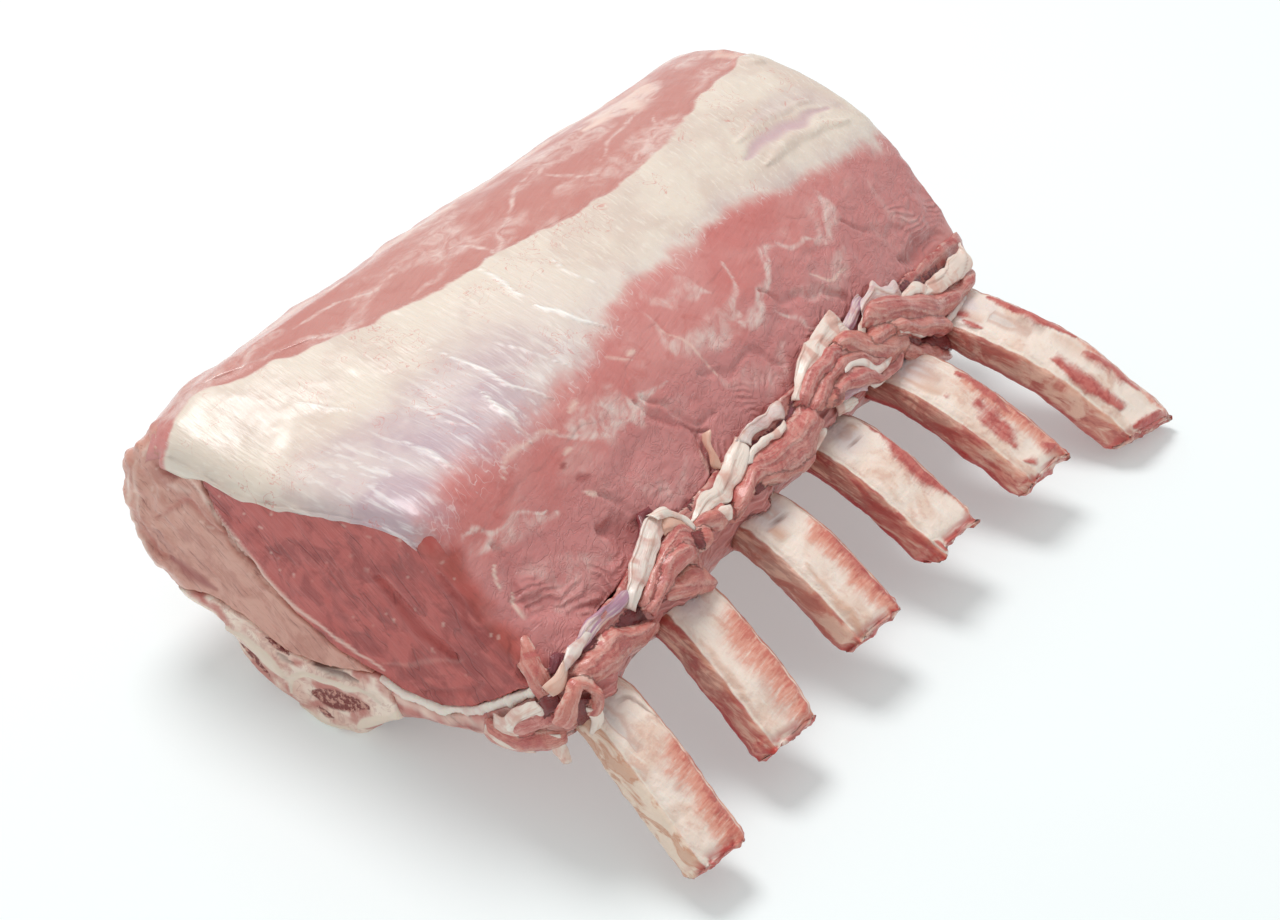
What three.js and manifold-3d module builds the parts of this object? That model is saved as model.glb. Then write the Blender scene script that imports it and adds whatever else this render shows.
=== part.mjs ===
// A frenched rack: six rib bones, trimmed bare at their outer ends, under one long loin.
//
// The rack lies bone side down, fat side up, on the foot of its backbone and on its longest rib.
// +Y runs along the backbone from the near cut face to the far one, +X runs outwards along the
// ribs, and +Z is up. The origin is the middle of the backbone's foot; while the rack is built, y
// counts from the near cut face. Millimetres throughout.
//
// Every soft layer is cut out of one body of meat. The body is a loft through cross-sections, and
// the seams that show on the near cut face run through its whole length, so each muscle, the fat
// between them, the fat on top and the backbone are solids of their own.
import * as THREE from 'three';
import { mergeVertices } from 'three/addons/utils/BufferGeometryUtils.js';
import Module from 'manifold-3d';

// Driving dimensions.
const LENGTH = 204; // near cut face to far cut face
const MIDDLE = 100; // where the middle cross-section stands
const RIB_PITCH = 34;
const FIRST_RIB_Y = 14;
const FOOT_X = -2; // the middle of the backbone's flat foot, where the rack's origin is
const GAP = 0.3; // clearance between neighbouring pieces
const COVER_THICKNESS = 2.4; // the fat on top
const SEAM_THICKNESS = 1.5; // the fat between the eye and the ribs
const STATIONS_PER_RIB = 3; // cross-sections of the body for every rib
const END_STATIONS = [0, 0.45, 1]; // where the rounding of a cut face's edge has its cross-sections
const POINTS_PER_SPAN = 2; // points from one landmark of the outline to the next
const END_ROUNDING = 3.2; // how far the cut faces' edges are rounded over
const RIM_FALL = 7; // how far the near end's upper left rim rolls down
const RIM_REACH = 9; // and how far from the near face it does so
const SCALLOP = { near: 4, far: 1.5 }; // how much the outer edge swells at every rib
const SCALLOP_FROM_X = 48; // where the swelling starts
const SCALLOP_FULL_X = 58; // and where it is whole
const RIM_FROM_X = -2; // the same for the rolled rim, across
const RIM_FULL_X = -26;
const RIM_FROM_Z = 45; // and upwards
const RIM_FULL_Z = 60;
const CORE_Z = 38; // the cut faces' edges are rounded towards a line at this height

// The outline of the body, anticlockwise when one looks along +Y: [x, z] of every landmark at the
// near face, in the middle and at the far face.
const OUTLINE = [
  { at: 'foot of the backbone, outer edge', near: [5, -0.6], middle: [4, -0.6], far: [4, -0.6] },
  { at: 'hollow beside the backbone', near: [12, 8], middle: [10, 8.5], far: [10, 8] },
  { at: 'underside of the ribs, inner part', near: [24, 14.5], middle: [24, 14.5], far: [23, 12.5] },
  { at: 'underside of the ribs, outer part', near: [41, 18.5], middle: [41, 18.5], far: [37, 14.5] },
  { at: 'lower lip of the outer edge', near: [59, 25.5], middle: [55, 24.5], far: [49.5, 19.5] },
  { at: 'outer edge', near: [62, 33], middle: [58, 32], far: [51.5, 26.5] },
  { at: 'upper lip of the outer edge', near: [58.5, 40.5], middle: [55.5, 39.5], far: [48.5, 33.5] },
  { at: 'foot of the outer flank', near: [51, 46], middle: [50, 45.5], far: [43.5, 40] },
  { at: 'outer flank', near: [41, 54], middle: [42, 54], far: [37.5, 47] },
  { at: 'outer shoulder', near: [32, 64.5], middle: [32, 63.5], far: [29, 55] },
  { at: 'ridge', near: [25, 71], middle: [18, 70.5], far: [18, 63.5] },
  { at: 'top, outer part', near: [10, 69.5], middle: [4, 73.5], far: [4, 68.5] },
  { at: 'top, inner part', near: [-7, 66], middle: [-11, 74.5], far: [-11, 71.5] },
  { at: 'crown of the inner muscle', near: [-24, 68], middle: [-26, 72.7], far: [-25, 70.5] },
  { at: 'inner shoulder', near: [-43, 70.5], middle: [-42.5, 67.5], far: [-39.5, 64] },
  { at: 'inner flank, upper', near: [-54.5, 60.5], middle: [-53, 57.5], far: [-49, 52.5] },
  { at: 'inner flank, lower', near: [-59.5, 42], middle: [-56, 43], far: [-51, 39] },
  { at: 'inner flank, foot', near: [-54, 26], middle: [-51, 27], far: [-46, 24] },
  { at: 'under the inner muscle', near: [-43, 18], middle: [-41, 19], far: [-38, 17] },
  { at: 'notch over the feather bones', near: [-33, 16.5], middle: [-32, 16], far: [-30, 14] },
  { at: 'tips of the feather bones', near: [-28, 7], middle: [-27, 7.5], far: [-25, 7] },
  { at: 'inner side of the backbone', near: [-18, 2.5], middle: [-17, 3], far: [-16, 2.5] },
  { at: 'foot of the backbone, inner edge', near: [-9, -0.6], middle: [-9, -0.6], far: [-9, -0.6] },
];

// Seams in the cross-section, placed in the same way. JUNCTION is where the eye, the inner muscle,
// the backbone and the rib layer meet.
const JUNCTION = { near: [13, 24], middle: [13, 23], far: [12, 22] };
const EYE_SIDE = [
  { near: [-33, 90], middle: [-7, 95], far: [-15, 90] },
  { near: [-32, 59], middle: [-6, 72], far: [-14, 69] },
  { near: [-28, 47], middle: [-7, 58], far: [-12, 53] },
  { near: [-15, 35], middle: [-4, 42], far: [-6, 38] },
  { near: [0, 26.5], middle: [4, 28], far: [3, 26.5] },
];
const EYE_FLOOR = [
  { near: [20, 22.5], middle: [20, 22], far: [19, 20.5] },
  { near: [30, 23.5], middle: [30, 23.5], far: [27, 21] },
  { near: [38, 27.5], middle: [38, 29], far: [35, 24] },
  { near: [47, 35], middle: [44, 37], far: [41, 30.5] },
  { near: [56, 43], middle: [50, 45.5], far: [46, 37] },
  { near: [75, 58], middle: [66, 66], far: [62, 54] },
];
const BACKBONE_TOP = [
  { near: [-4, 18.5], middle: [-4, 18.5], far: [-3, 17] },
  { near: [-14, 18], middle: [-14, 18], far: [-13, 16.5] },
  { near: [-25, 22.5], middle: [-24, 22], far: [-23, 20] },
  { near: [-34, 24], middle: [-33, 23], far: [-32, 21] },
  { near: [-90, 10], middle: [-90, 10], far: [-90, 10] },
];
const BACKBONE_SIDE = [
  { near: [17, 18], middle: [17, 18], far: [16, 16] },
  { near: [19, -20], middle: [19, -20], far: [19, -20] },
];

// The fat on top: how far across its inner and its outer edge lie, from the near end on.
const COVER_EDGES = [
  { y: -9, inner: -42, outer: 29 },
  { y: 10, inner: -48, outer: 22.5 },
  { y: 24, inner: -39, outer: 22.5 },
  { y: 42, inner: -31.5, outer: 23.5 },
  { y: 60, inner: -21, outer: 23 },
  { y: 90, inner: -14.5, outer: 17 },
  { y: 116, inner: -8, outer: 17.5 },
  { y: 142, inner: -8.5, outer: 16.5 },
  { y: 170, inner: -13.5, outer: 22 },
  { y: 213, inner: -20, outer: 25 },
];
const OUTSIDE = 95; // farther out than any meat
const ABOVE = 120; // higher than any meat
const REGION_STATIONS = 5;
const REGION_PAST = 10;
const COVER_LOW = 30;
const COVER_HIGH = 90;
const COVER_STATIONS = 16;

// The ribs, from the near one on. A rib runs out from the backbone under the eye, turns down at its
// angle and ends in a saw cut. fan turns its outer part in plan, and skew its saw cut, in degrees.
const RIB_INNER_PATH = [[7, 14], [22, 18], [37, 22.5], [49, 27.8]];
const RIB_TURN_X = 58; // where a rib's outer part begins
const RIB_INNER_WIDTH = 0.78; // a rib's head is narrower and thinner than its outer part
const RIB_INNER_THICKNESS = 0.62;
const RIBS = [
  { fan: -12, width: 15, thickness: 8.5, turn: 30.5, middle: [77, 20.5], tip: [94, 8.5], skew: 0 },
  { fan: -10.5, width: 17, thickness: 8.5, turn: 30.5, middle: [75, 22], tip: [90, 11.5], skew: 0 },
  { fan: -5, width: 18.5, thickness: 8, turn: 30.5, middle: [75.5, 23.5], tip: [90, 14.5], skew: 4 },
  { fan: -1, width: 19.5, thickness: 8, turn: 30.5, middle: [75.5, 24], tip: [90, 15.5], skew: 8 },
  { fan: 3, width: 20, thickness: 8, turn: 29.5, middle: [79, 23], tip: [97, 13.5], skew: 8 },
  { fan: 9.5, width: 22.5, thickness: 8.5, turn: 26.5, middle: [83, 19.5], tip: [106, 4.7], skew: 25 },
];
const RIB_BARE_FROM = 0.15; // how far along a rib it starts to broaden
const RIB_BARE_FULL = 0.65; // and how far along it has its full width
const RIB_STATIONS = 10;
const RIB_SECTION_POINTS = 10;
const RIB_SQUARENESS = 0.62; // below 1 an ellipse fills out towards a rectangle

const FINISHES = {
  eye: { color: 0xb8706c, roughness: 0.5 },
  inner: { color: 0xc08278, roughness: 0.5 },
  layer: { color: 0xa4524c, roughness: 0.5 },
  cover: { color: 0xe8dccb, roughness: 0.45 },
  seam: { color: 0xefe2da, roughness: 0.45 },
  bone: { color: 0xe6d6c4, roughness: 0.55 },
};

const wasm = await Module();
wasm.setup();

const { lerp, smoothstep, degToRad: radians } = THREE.MathUtils;

// Solids.

/** The triangles of a flat outline, each turned the same way as the outline. */
function capFaces(outline) {
  const faces = THREE.ShapeUtils.triangulateShape(outline, []);
  const side = Math.sign(THREE.ShapeUtils.area(outline));
  return faces.map(([a, b, c]) => {
    const turn = Math.sign(THREE.ShapeUtils.area([outline[a], outline[b], outline[c]]));
    return turn === side ? [a, b, c] : [a, c, b];
  });
}

/** A closed geometry through rings of equal length, whose first ring turns anticlockwise outside. */
function loft(rings, capOutline = (ring) => ring.map((p) => new THREE.Vector2(p.x, p.z))) {
  const count = rings[0].length;
  const last = (rings.length - 1) * count;
  const index = [];
  for (let j = 0; j < rings.length - 1; j += 1) {
    for (let i = 0; i < count; i += 1) {
      const a = j * count + i;
      const b = j * count + ((i + 1) % count);
      index.push(a, a + count, b + count, a, b + count, b);
    }
  }
  for (const [a, b, c] of capFaces(capOutline(rings[0]))) index.push(a, b, c);
  for (const [a, b, c] of capFaces(capOutline(rings.at(-1)))) index.push(last + a, last + c, last + b);
  const geometry = new THREE.BufferGeometry().setFromPoints(rings.flat());
  geometry.setIndex(index);
  return geometry;
}

/** A manifold-3d solid of a closed geometry. */
function solidOf(geometry) {
  const bare = geometry.clone();
  bare.deleteAttribute('normal');
  bare.deleteAttribute('uv');
  const merged = mergeVertices(bare);
  const mesh = new wasm.Mesh({
    numProp: 3,
    vertProperties: new Float32Array(merged.attributes.position.array),
    triVerts: new Uint32Array(merged.index.array),
  });
  return new wasm.Manifold(mesh);
}

/** The three.js geometry of a manifold-3d solid. */
function geometryOf(solid) {
  const { vertProperties, triVerts } = solid.getMesh();
  const geometry = new THREE.BufferGeometry();
  geometry.setAttribute('position', new THREE.BufferAttribute(vertProperties, 3));
  geometry.setIndex(new THREE.BufferAttribute(triVerts, 1));
  geometry.computeVertexNormals();
  return geometry;
}

/** All the room above the surface that the rack rests on. */
function aboveGround() {
  const reach = 2 * LENGTH;
  const room = new THREE.BoxGeometry(2 * reach, 2 * reach, reach);
  return solidOf(room.translate(0, 0, reach / 2));
}

// The body of meat.

/** The smooth curve through a landmark's places at the near face, the middle and the far face. */
function landmarkAt({ near, middle, far }, y) {
  const t = y / LENGTH;
  const m = MIDDLE / LENGTH;
  const atNear = ((t - m) * (t - 1)) / m;
  const atMiddle = (t * (t - 1)) / (m * (m - 1));
  const atFar = (t * (t - m)) / (1 - m);
  return [0, 1].map((k) => near[k] * atNear + middle[k] * atMiddle + far[k] * atFar);
}

/** How far the outline is drawn in at y, so that the cut faces' edges are round. */
function rounding(y) {
  const fromEnd = Math.min(y, LENGTH - y);
  const t = THREE.MathUtils.clamp(1 - fromEnd / END_ROUNDING, 0, 1);
  return END_ROUNDING * (1 - Math.sqrt(1 - t * t));
}

/** How much the outer edge swells at y: most where a rib comes out, least half way between two. */
function scallop(y) {
  const depth = lerp(SCALLOP.near, SCALLOP.far, y / LENGTH);
  return depth * Math.cos((2 * Math.PI * (y - FIRST_RIB_Y)) / RIB_PITCH);
}

/** One cross-section of the body, as a ring of points. */
function bodyRing(y) {
  const corners = OUTLINE.map((landmark) => {
    const [x, z] = landmarkAt(landmark, y);
    const outer = smoothstep(x, SCALLOP_FROM_X, SCALLOP_FULL_X);
    const inner = smoothstep(-x, -RIM_FROM_X, -RIM_FULL_X);
    const upper = smoothstep(z, RIM_FROM_Z, RIM_FULL_Z);
    const rolled = RIM_FALL * inner * upper * Math.exp(-y / RIM_REACH);
    return new THREE.Vector3(x + outer * scallop(y), y, z - rolled);
  });
  const curve = new THREE.CatmullRomCurve3(corners, true, 'catmullrom', 0.5);
  const ring = curve.getPoints(corners.length * POINTS_PER_SPAN).slice(0, -1);
  const core = new THREE.Vector3(0, y, CORE_Z);
  const inset = rounding(y);
  return ring.map((p) => {
    const arm = p.clone().sub(core);
    return p.clone().addScaledVector(arm.normalize(), -inset);
  });
}

/** Stations along the body: some for every rib, and a few more to round each cut face's edge. */
function bodyStations() {
  const ends = END_STATIONS.map((t) => t * END_ROUNDING);
  const step = RIB_PITCH / STATIONS_PER_RIB;
  const first = FIRST_RIB_Y % step;
  const inner = Array.from({ length: Math.ceil(LENGTH / step) }, (_, j) => first + j * step);
  const between = inner.filter((y) => Math.min(y, LENGTH - y) > END_ROUNDING + 1);
  return [...ends, ...between, ...ends.map((y) => LENGTH - y).reverse()];
}

/** The body of meat, all of it above the surface that it rests on, moved down by depth. */
function makeBody(depth = 0) {
  const skin = loft(bodyStations().map(bodyRing));
  const body = solidOf(skin).intersect(aboveGround());
  return depth === 0 ? body : solidOf(skin.translate(0, 0, -depth));
}

// Cutters. Each is a region of the cross-section, carried along the whole body.

/** A seam moved sideways by distance, to the left of its own direction. */
function offset(points, distance) {
  return points.map((p, i) => {
    const before = points[Math.max(i - 1, 0)];
    const after = points[Math.min(i + 1, points.length - 1)];
    const along = after.clone().sub(before).normalize();
    return new THREE.Vector2(p.x - along.y * distance, p.y + along.x * distance);
  });
}

/** A solid of the cross-sections that outlineAt gives along the body, and a little past its ends. */
function region(outlineAt) {
  const rings = Array.from({ length: REGION_STATIONS + 1 }, (_, j) => {
    const y = lerp(-REGION_PAST, LENGTH + REGION_PAST, j / REGION_STATIONS);
    return outlineAt(y).map((p) => new THREE.Vector3(p.x, y, p.y));
  });
  return solidOf(loft(rings));
}

const points = (seam, y) => seam.map((place) => new THREE.Vector2(...landmarkAt(place, y)));
const corner = (x, z) => new THREE.Vector2(x, z);

/** The eye's region, drawn in by inset; a negative inset lets it out. */
function eyeRegion(inset) {
  return region((y) => {
    const side = offset(points([...EYE_SIDE, JUNCTION], y), inset);
    const floor = offset(points([JUNCTION, ...EYE_FLOOR], y), inset);
    return [...side.slice(0, -1), ...floor, corner(OUTSIDE, ABOVE), corner(side[0].x, ABOVE)];
  });
}

/** Everything on the outer side of the backbone, drawn in by inset. */
function outerRegion(inset) {
  return region((y) => {
    const side = offset(points([JUNCTION, ...BACKBONE_SIDE], y), inset);
    return [corner(side[0].x, ABOVE), ...side, corner(OUTSIDE, side.at(-1).y), corner(OUTSIDE, ABOVE)];
  });
}

/** Everything over the backbone, drawn in by inset. */
function upperRegion(inset) {
  return region((y) => {
    const top = offset(points([JUNCTION, ...BACKBONE_TOP], y), -inset);
    const end = top.at(-1).x;
    return [...top.reverse(), corner(OUTSIDE, top.at(-1).y), corner(OUTSIDE, ABOVE), corner(end, ABOVE)];
  });
}

/** The upright wall between the two edges of the fat on top, each drawn in by inset. */
function coverWall(inset) {
  const curve = (side, shift) => {
    const stops = COVER_EDGES.map((edge) => new THREE.Vector2(edge[side] + shift, edge.y));
    return new THREE.SplineCurve(stops);
  };
  const edges = [curve('inner', inset), curve('outer', -inset)];
  const rings = Array.from({ length: COVER_STATIONS + 1 }, (_, j) => {
    const pair = edges.map((edge) => edge.getPoint(j / COVER_STATIONS));
    const low = pair.map((p) => new THREE.Vector3(p.x, p.y, COVER_LOW));
    const high = pair.map((p) => new THREE.Vector3(p.x, p.y, COVER_HIGH));
    return [...low, ...high.reverse()];
  });
  return solidOf(loft(rings));
}

// The ribs.

/** The centre line of a rib, from its head at the backbone to its saw cut. */
function ribPath({ fan, turn, middle, tip }, y) {
  const drift = (x) => Math.tan(radians(fan)) * Math.max(x - RIB_TURN_X, 0);
  const stops = [...RIB_INNER_PATH, [RIB_TURN_X, turn], middle, tip];
  return new THREE.CatmullRomCurve3(stops.map(([x, z]) => new THREE.Vector3(x, y + drift(x), z)));
}

/** A rib, or with grow the room that it takes up in the meat. */
function ribSolid(rib, y, grow = 0) {
  const path = ribPath(rib, y);
  const up = new THREE.Vector3(0, 0, 1);
  const angles = Array.from({ length: RIB_SECTION_POINTS }, (_, i) => {
    return (2 * Math.PI * (i + 0.5)) / RIB_SECTION_POINTS;
  });
  const rings = Array.from({ length: RIB_STATIONS + 1 }, (_, j) => {
    const t = j / RIB_STATIONS;
    const centre = path.getPointAt(t);
    const along = path.getTangentAt(t);
    const across = new THREE.Vector3().crossVectors(up, along).normalize();
    const normal = new THREE.Vector3().crossVectors(along, across);
    const bare = smoothstep(t, RIB_BARE_FROM, RIB_BARE_FULL);
    const halfWidth = (rib.width / 2) * lerp(RIB_INNER_WIDTH, 1, bare) + grow;
    const halfThickness = (rib.thickness / 2) * lerp(RIB_INNER_THICKNESS, 1, bare) + grow;
    const slant = j === RIB_STATIONS ? Math.tan(radians(rib.skew)) : 0;
    if (j === 0) centre.addScaledVector(along, -grow);
    return angles.map((angle) => {
      const c = Math.cos(angle);
      const s = Math.sin(angle);
      const u = halfWidth * Math.sign(c) * Math.abs(c) ** RIB_SQUARENESS;
      const v = halfThickness * Math.sign(s) * Math.abs(s) ** RIB_SQUARENESS;
      const place = centre.clone().addScaledVector(across, -u).addScaledVector(normal, v);
      return place.addScaledVector(along, -u * slant);
    });
  });
  const cap = angles.map((angle) => new THREE.Vector2(Math.cos(angle), Math.sin(angle)));
  return solidOf(loft(rings, () => cap));
}

// The rack.

/** One named piece of the rack. */
function piece(name, solid, finish) {
  const material = new THREE.MeshStandardMaterial({ ...finish, metalness: 0 });
  const mesh = new THREE.Mesh(geometryOf(solid), material);
  mesh.name = name;
  return mesh;
}

function makeRack() {
  const body = makeBody();
  const room = RIBS.map((rib, i) => ribSolid(rib, FIRST_RIB_Y + i * RIB_PITCH, GAP));
  const withoutRibs = (solid) => room.reduce((rest, rib) => rest.subtract(rib), solid);
  const coverRoom = coverWall(0).subtract(makeBody(COVER_THICKNESS + GAP));
  const cover = body.intersect(coverWall(GAP)).subtract(makeBody(COVER_THICKNESS));
  const meat = body.subtract(coverRoom);
  const eye = meat.intersect(eyeRegion(0));
  const besideEye = meat.subtract(eyeRegion(-GAP));
  const outer = besideEye.intersect(outerRegion(0));
  const inner = besideEye.subtract(outerRegion(-GAP));
  const seam = outer.intersect(eyeRegion(-GAP - SEAM_THICKNESS));
  const layer = outer.subtract(eyeRegion(-2 * GAP - SEAM_THICKNESS));

  const rack = new THREE.Group();
  rack.add(
    piece('fat_cover', cover, FINISHES.cover),
    piece('eye_muscle', withoutRibs(eye), FINISHES.eye),
    piece('inner_muscle', inner.intersect(upperRegion(0)), FINISHES.inner),
    piece('seam_fat', withoutRibs(seam), FINISHES.seam),
    piece('rib_layer', withoutRibs(layer), FINISHES.layer),
    piece('backbone', withoutRibs(inner.subtract(upperRegion(-GAP))), FINISHES.bone),
  );
  const above = aboveGround();
  RIBS.forEach((rib, i) => {
    const solid = ribSolid(rib, FIRST_RIB_Y + i * RIB_PITCH).intersect(above);
    rack.add(piece(`rib_${i + 1}`, solid, FINISHES.bone));
  });
  rack.position.set(-FOOT_X, -LENGTH / 2, 0);
  return rack;
}

export default makeRack();
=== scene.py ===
# %% [markdown]
# # A frenched rack of pork
#
# The rack is a long loin lying on its backbone, with six ribs that come out on one side. The outer
# end of each rib has been scraped bare, which is what frenching means. The CAD frame already holds
# every muscle, layer and bone at its real size. This lesson gives each of them a finer mesh and a
# wet, fibrous or bony finish, and adds the ragged skin and meat where the ribs leave the loin.

# %% Load the frame
import math
from itertools import product

import bmesh
import bpy
import numpy as np
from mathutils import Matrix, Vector
from mathutils.kdtree import KDTree
from mathutils.bvhtree import BVHTree


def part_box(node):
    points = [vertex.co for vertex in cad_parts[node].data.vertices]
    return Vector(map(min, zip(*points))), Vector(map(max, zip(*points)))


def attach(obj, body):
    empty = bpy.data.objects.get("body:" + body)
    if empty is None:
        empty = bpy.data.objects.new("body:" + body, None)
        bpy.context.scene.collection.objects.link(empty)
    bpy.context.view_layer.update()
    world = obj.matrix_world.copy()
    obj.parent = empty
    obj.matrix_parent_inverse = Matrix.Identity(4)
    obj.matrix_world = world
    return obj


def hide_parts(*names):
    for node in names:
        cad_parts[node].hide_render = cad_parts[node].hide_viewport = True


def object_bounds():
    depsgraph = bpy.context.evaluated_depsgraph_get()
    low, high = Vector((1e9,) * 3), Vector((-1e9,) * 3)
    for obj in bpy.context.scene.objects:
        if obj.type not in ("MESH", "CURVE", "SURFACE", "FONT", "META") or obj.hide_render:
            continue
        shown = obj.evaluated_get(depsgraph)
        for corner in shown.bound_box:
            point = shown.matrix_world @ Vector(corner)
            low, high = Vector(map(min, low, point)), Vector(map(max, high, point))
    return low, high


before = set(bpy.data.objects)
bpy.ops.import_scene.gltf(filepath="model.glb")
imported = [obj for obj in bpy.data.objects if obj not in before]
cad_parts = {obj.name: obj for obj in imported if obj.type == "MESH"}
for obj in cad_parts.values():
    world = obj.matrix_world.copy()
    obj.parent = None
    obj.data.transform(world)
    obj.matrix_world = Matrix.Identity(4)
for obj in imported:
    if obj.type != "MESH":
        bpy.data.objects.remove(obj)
CAD_LOW, CAD_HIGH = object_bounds()
print("CAD box in metres:", tuple(CAD_LOW), tuple(CAD_HIGH))

# %% [markdown]
# Blender works in metres, but meat is easier to think about in millimetres. All the shaping below
# happens on arrays of points in millimetres, and `MM` turns them back. The rack's long axis is Y:
# the near cut face is at its low end, the ribs come out towards +X, and Z is up.

# %% Main measures
MM = 0.001


def box(node):
    """The lowest and highest corner of a CAD node, in millimetres."""
    low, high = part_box(node)
    return np.array(low) / MM, np.array(high) / MM


RIBS = [f"rib_{number}" for number in range(1, 7)]
NEAR = box("eye_muscle")[0][1]
FAR = box("eye_muscle")[1][1]
TOP = box("inner_muscle")[1][2]
PITCH = 34.0
FIRST_RIB = NEAR + 14.0
print(f"the loin runs from y = {NEAR:.1f} to {FAR:.1f} mm and is {TOP:.1f} mm high")

# %% [markdown]
# The camera comes first, because every later choice is judged through it. A long lens from well
# above the near end shows the cut face, the fat on top and all six ribs at once.

# %% Camera
AZIMUTH, ELEVATION = math.radians(32.81), math.radians(37.93)
DISTANCE = 573.15
AIM = (np.array(CAD_LOW) + np.array(CAD_HIGH)) / 2 / MM + np.array([1.66, -20.66, -2.45])
BACK = np.array([
    math.sin(AZIMUTH) * math.cos(ELEVATION),
    -math.cos(AZIMUTH) * math.cos(ELEVATION),
    math.sin(ELEVATION),
])

camera = bpy.data.objects.new("camera", bpy.data.cameras.new("camera"))
camera.data.lens = 70.25
camera.data.sensor_width = 36.0
camera.data.clip_start = 0.01
camera.location = (AIM + BACK * DISTANCE) * MM
camera.rotation_mode = "QUATERNION"
camera.rotation_quaternion = Vector(-BACK).to_track_quat("-Z", "Y")
bpy.context.scene.collection.objects.link(camera)
bpy.context.scene.camera = camera
print("camera at", tuple(round(value, 4) for value in camera.location))

# %% [markdown]
# The studio is a white table under a bright, even sky, with one big soft lamp almost overhead. The
# even light keeps the shadows pale, and the lamp gives them a direction. The table is very slightly
# cool, because red meat throws a pink light on what stands beside it, and it glows faintly like a
# light box. The Standard view transform keeps the colours as they are mixed, where a filmic one
# would grey the white fat.

# %% Studio
SKY_STRENGTH = 0.6
KEY_POWER = 6.1
TABLE_GLOW = 0.24
KEY_SIZE = 0.45
KEY_FROM = np.array([-0.36, 0.10, 0.95])

scene = bpy.context.scene
scene.view_settings.view_transform = "Standard"
sky = bpy.data.worlds.new("studio sky")
sky.use_nodes = True
sky.node_tree.nodes["Background"].inputs["Color"].default_value = (1.0, 1.0, 1.0, 1.0)
sky.node_tree.nodes["Background"].inputs["Strength"].default_value = SKY_STRENGTH
scene.world = sky

key = bpy.data.objects.new("key lamp", bpy.data.lights.new("key lamp", "AREA"))
key.data.shape = "DISK"
key.data.size = KEY_SIZE
key.data.energy = KEY_POWER
key.location = KEY_FROM
key.rotation_mode = "QUATERNION"
key.rotation_quaternion = Vector(AIM * MM - KEY_FROM).to_track_quat("-Z", "Y")
scene.collection.objects.link(key)

floor_mesh = bpy.data.meshes.new("table")
bm = bmesh.new()
bmesh.ops.create_grid(bm, x_segments=1, y_segments=1, size=6.0)
bm.to_mesh(floor_mesh)
bm.free()
table = bpy.data.objects.new("table", floor_mesh)
scene.collection.objects.link(table)
print("studio ready: sky, lamp and table")

# %% [markdown]
# ## Shader maths
#
# A finish is a small program of nodes. Written as Python expressions it stays readable: `Link`
# wraps an output socket, and adding or multiplying two links adds the Math node that does it.
# `Finish` is one material. Its `node` method makes any other node, and `coats` lays one colour over
# another like thin paint, each as strongly as its own amount says.

# %% Links and finishes


class Link:
    """An output socket that stands in sums like a number."""

    def __init__(self, finish, socket):
        self.finish = finish
        self.socket = socket

    def maths(self, operation, *values):
        return self.finish.node("ShaderNodeMath", {"operation": operation}, dict(enumerate(values)))

    def __add__(self, other):
        return self.maths("ADD", self, other)

    def __sub__(self, other):
        return self.maths("SUBTRACT", self, other)

    def __rsub__(self, other):
        return self.maths("SUBTRACT", other, self)

    def __mul__(self, other):
        return self.maths("MULTIPLY", self, other)

    __radd__ = __add__
    __rmul__ = __mul__

    def absolute(self):
        return self.maths("ABSOLUTE", self)

    def sine(self):
        return self.maths("SINE", self)

    def span(self, low, high):
        """0 where the value is under low and 1 where it is over high, with a soft step between."""
        inputs = {"Value": self, "From Min": low, "From Max": high}
        return self.finish.node("ShaderNodeMapRange", {"interpolation_type": "SMOOTHSTEP"}, inputs)


def tone(red, green, blue):
    """A colour given as a screen shows it, from 0 to 255, turned into light."""
    parts = [value / 255 for value in (red, green, blue)]
    light = [v / 12.92 if v <= 0.04045 else ((v + 0.055) / 1.055) ** 2.4 for v in parts]
    return (*light, 1.0)


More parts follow.
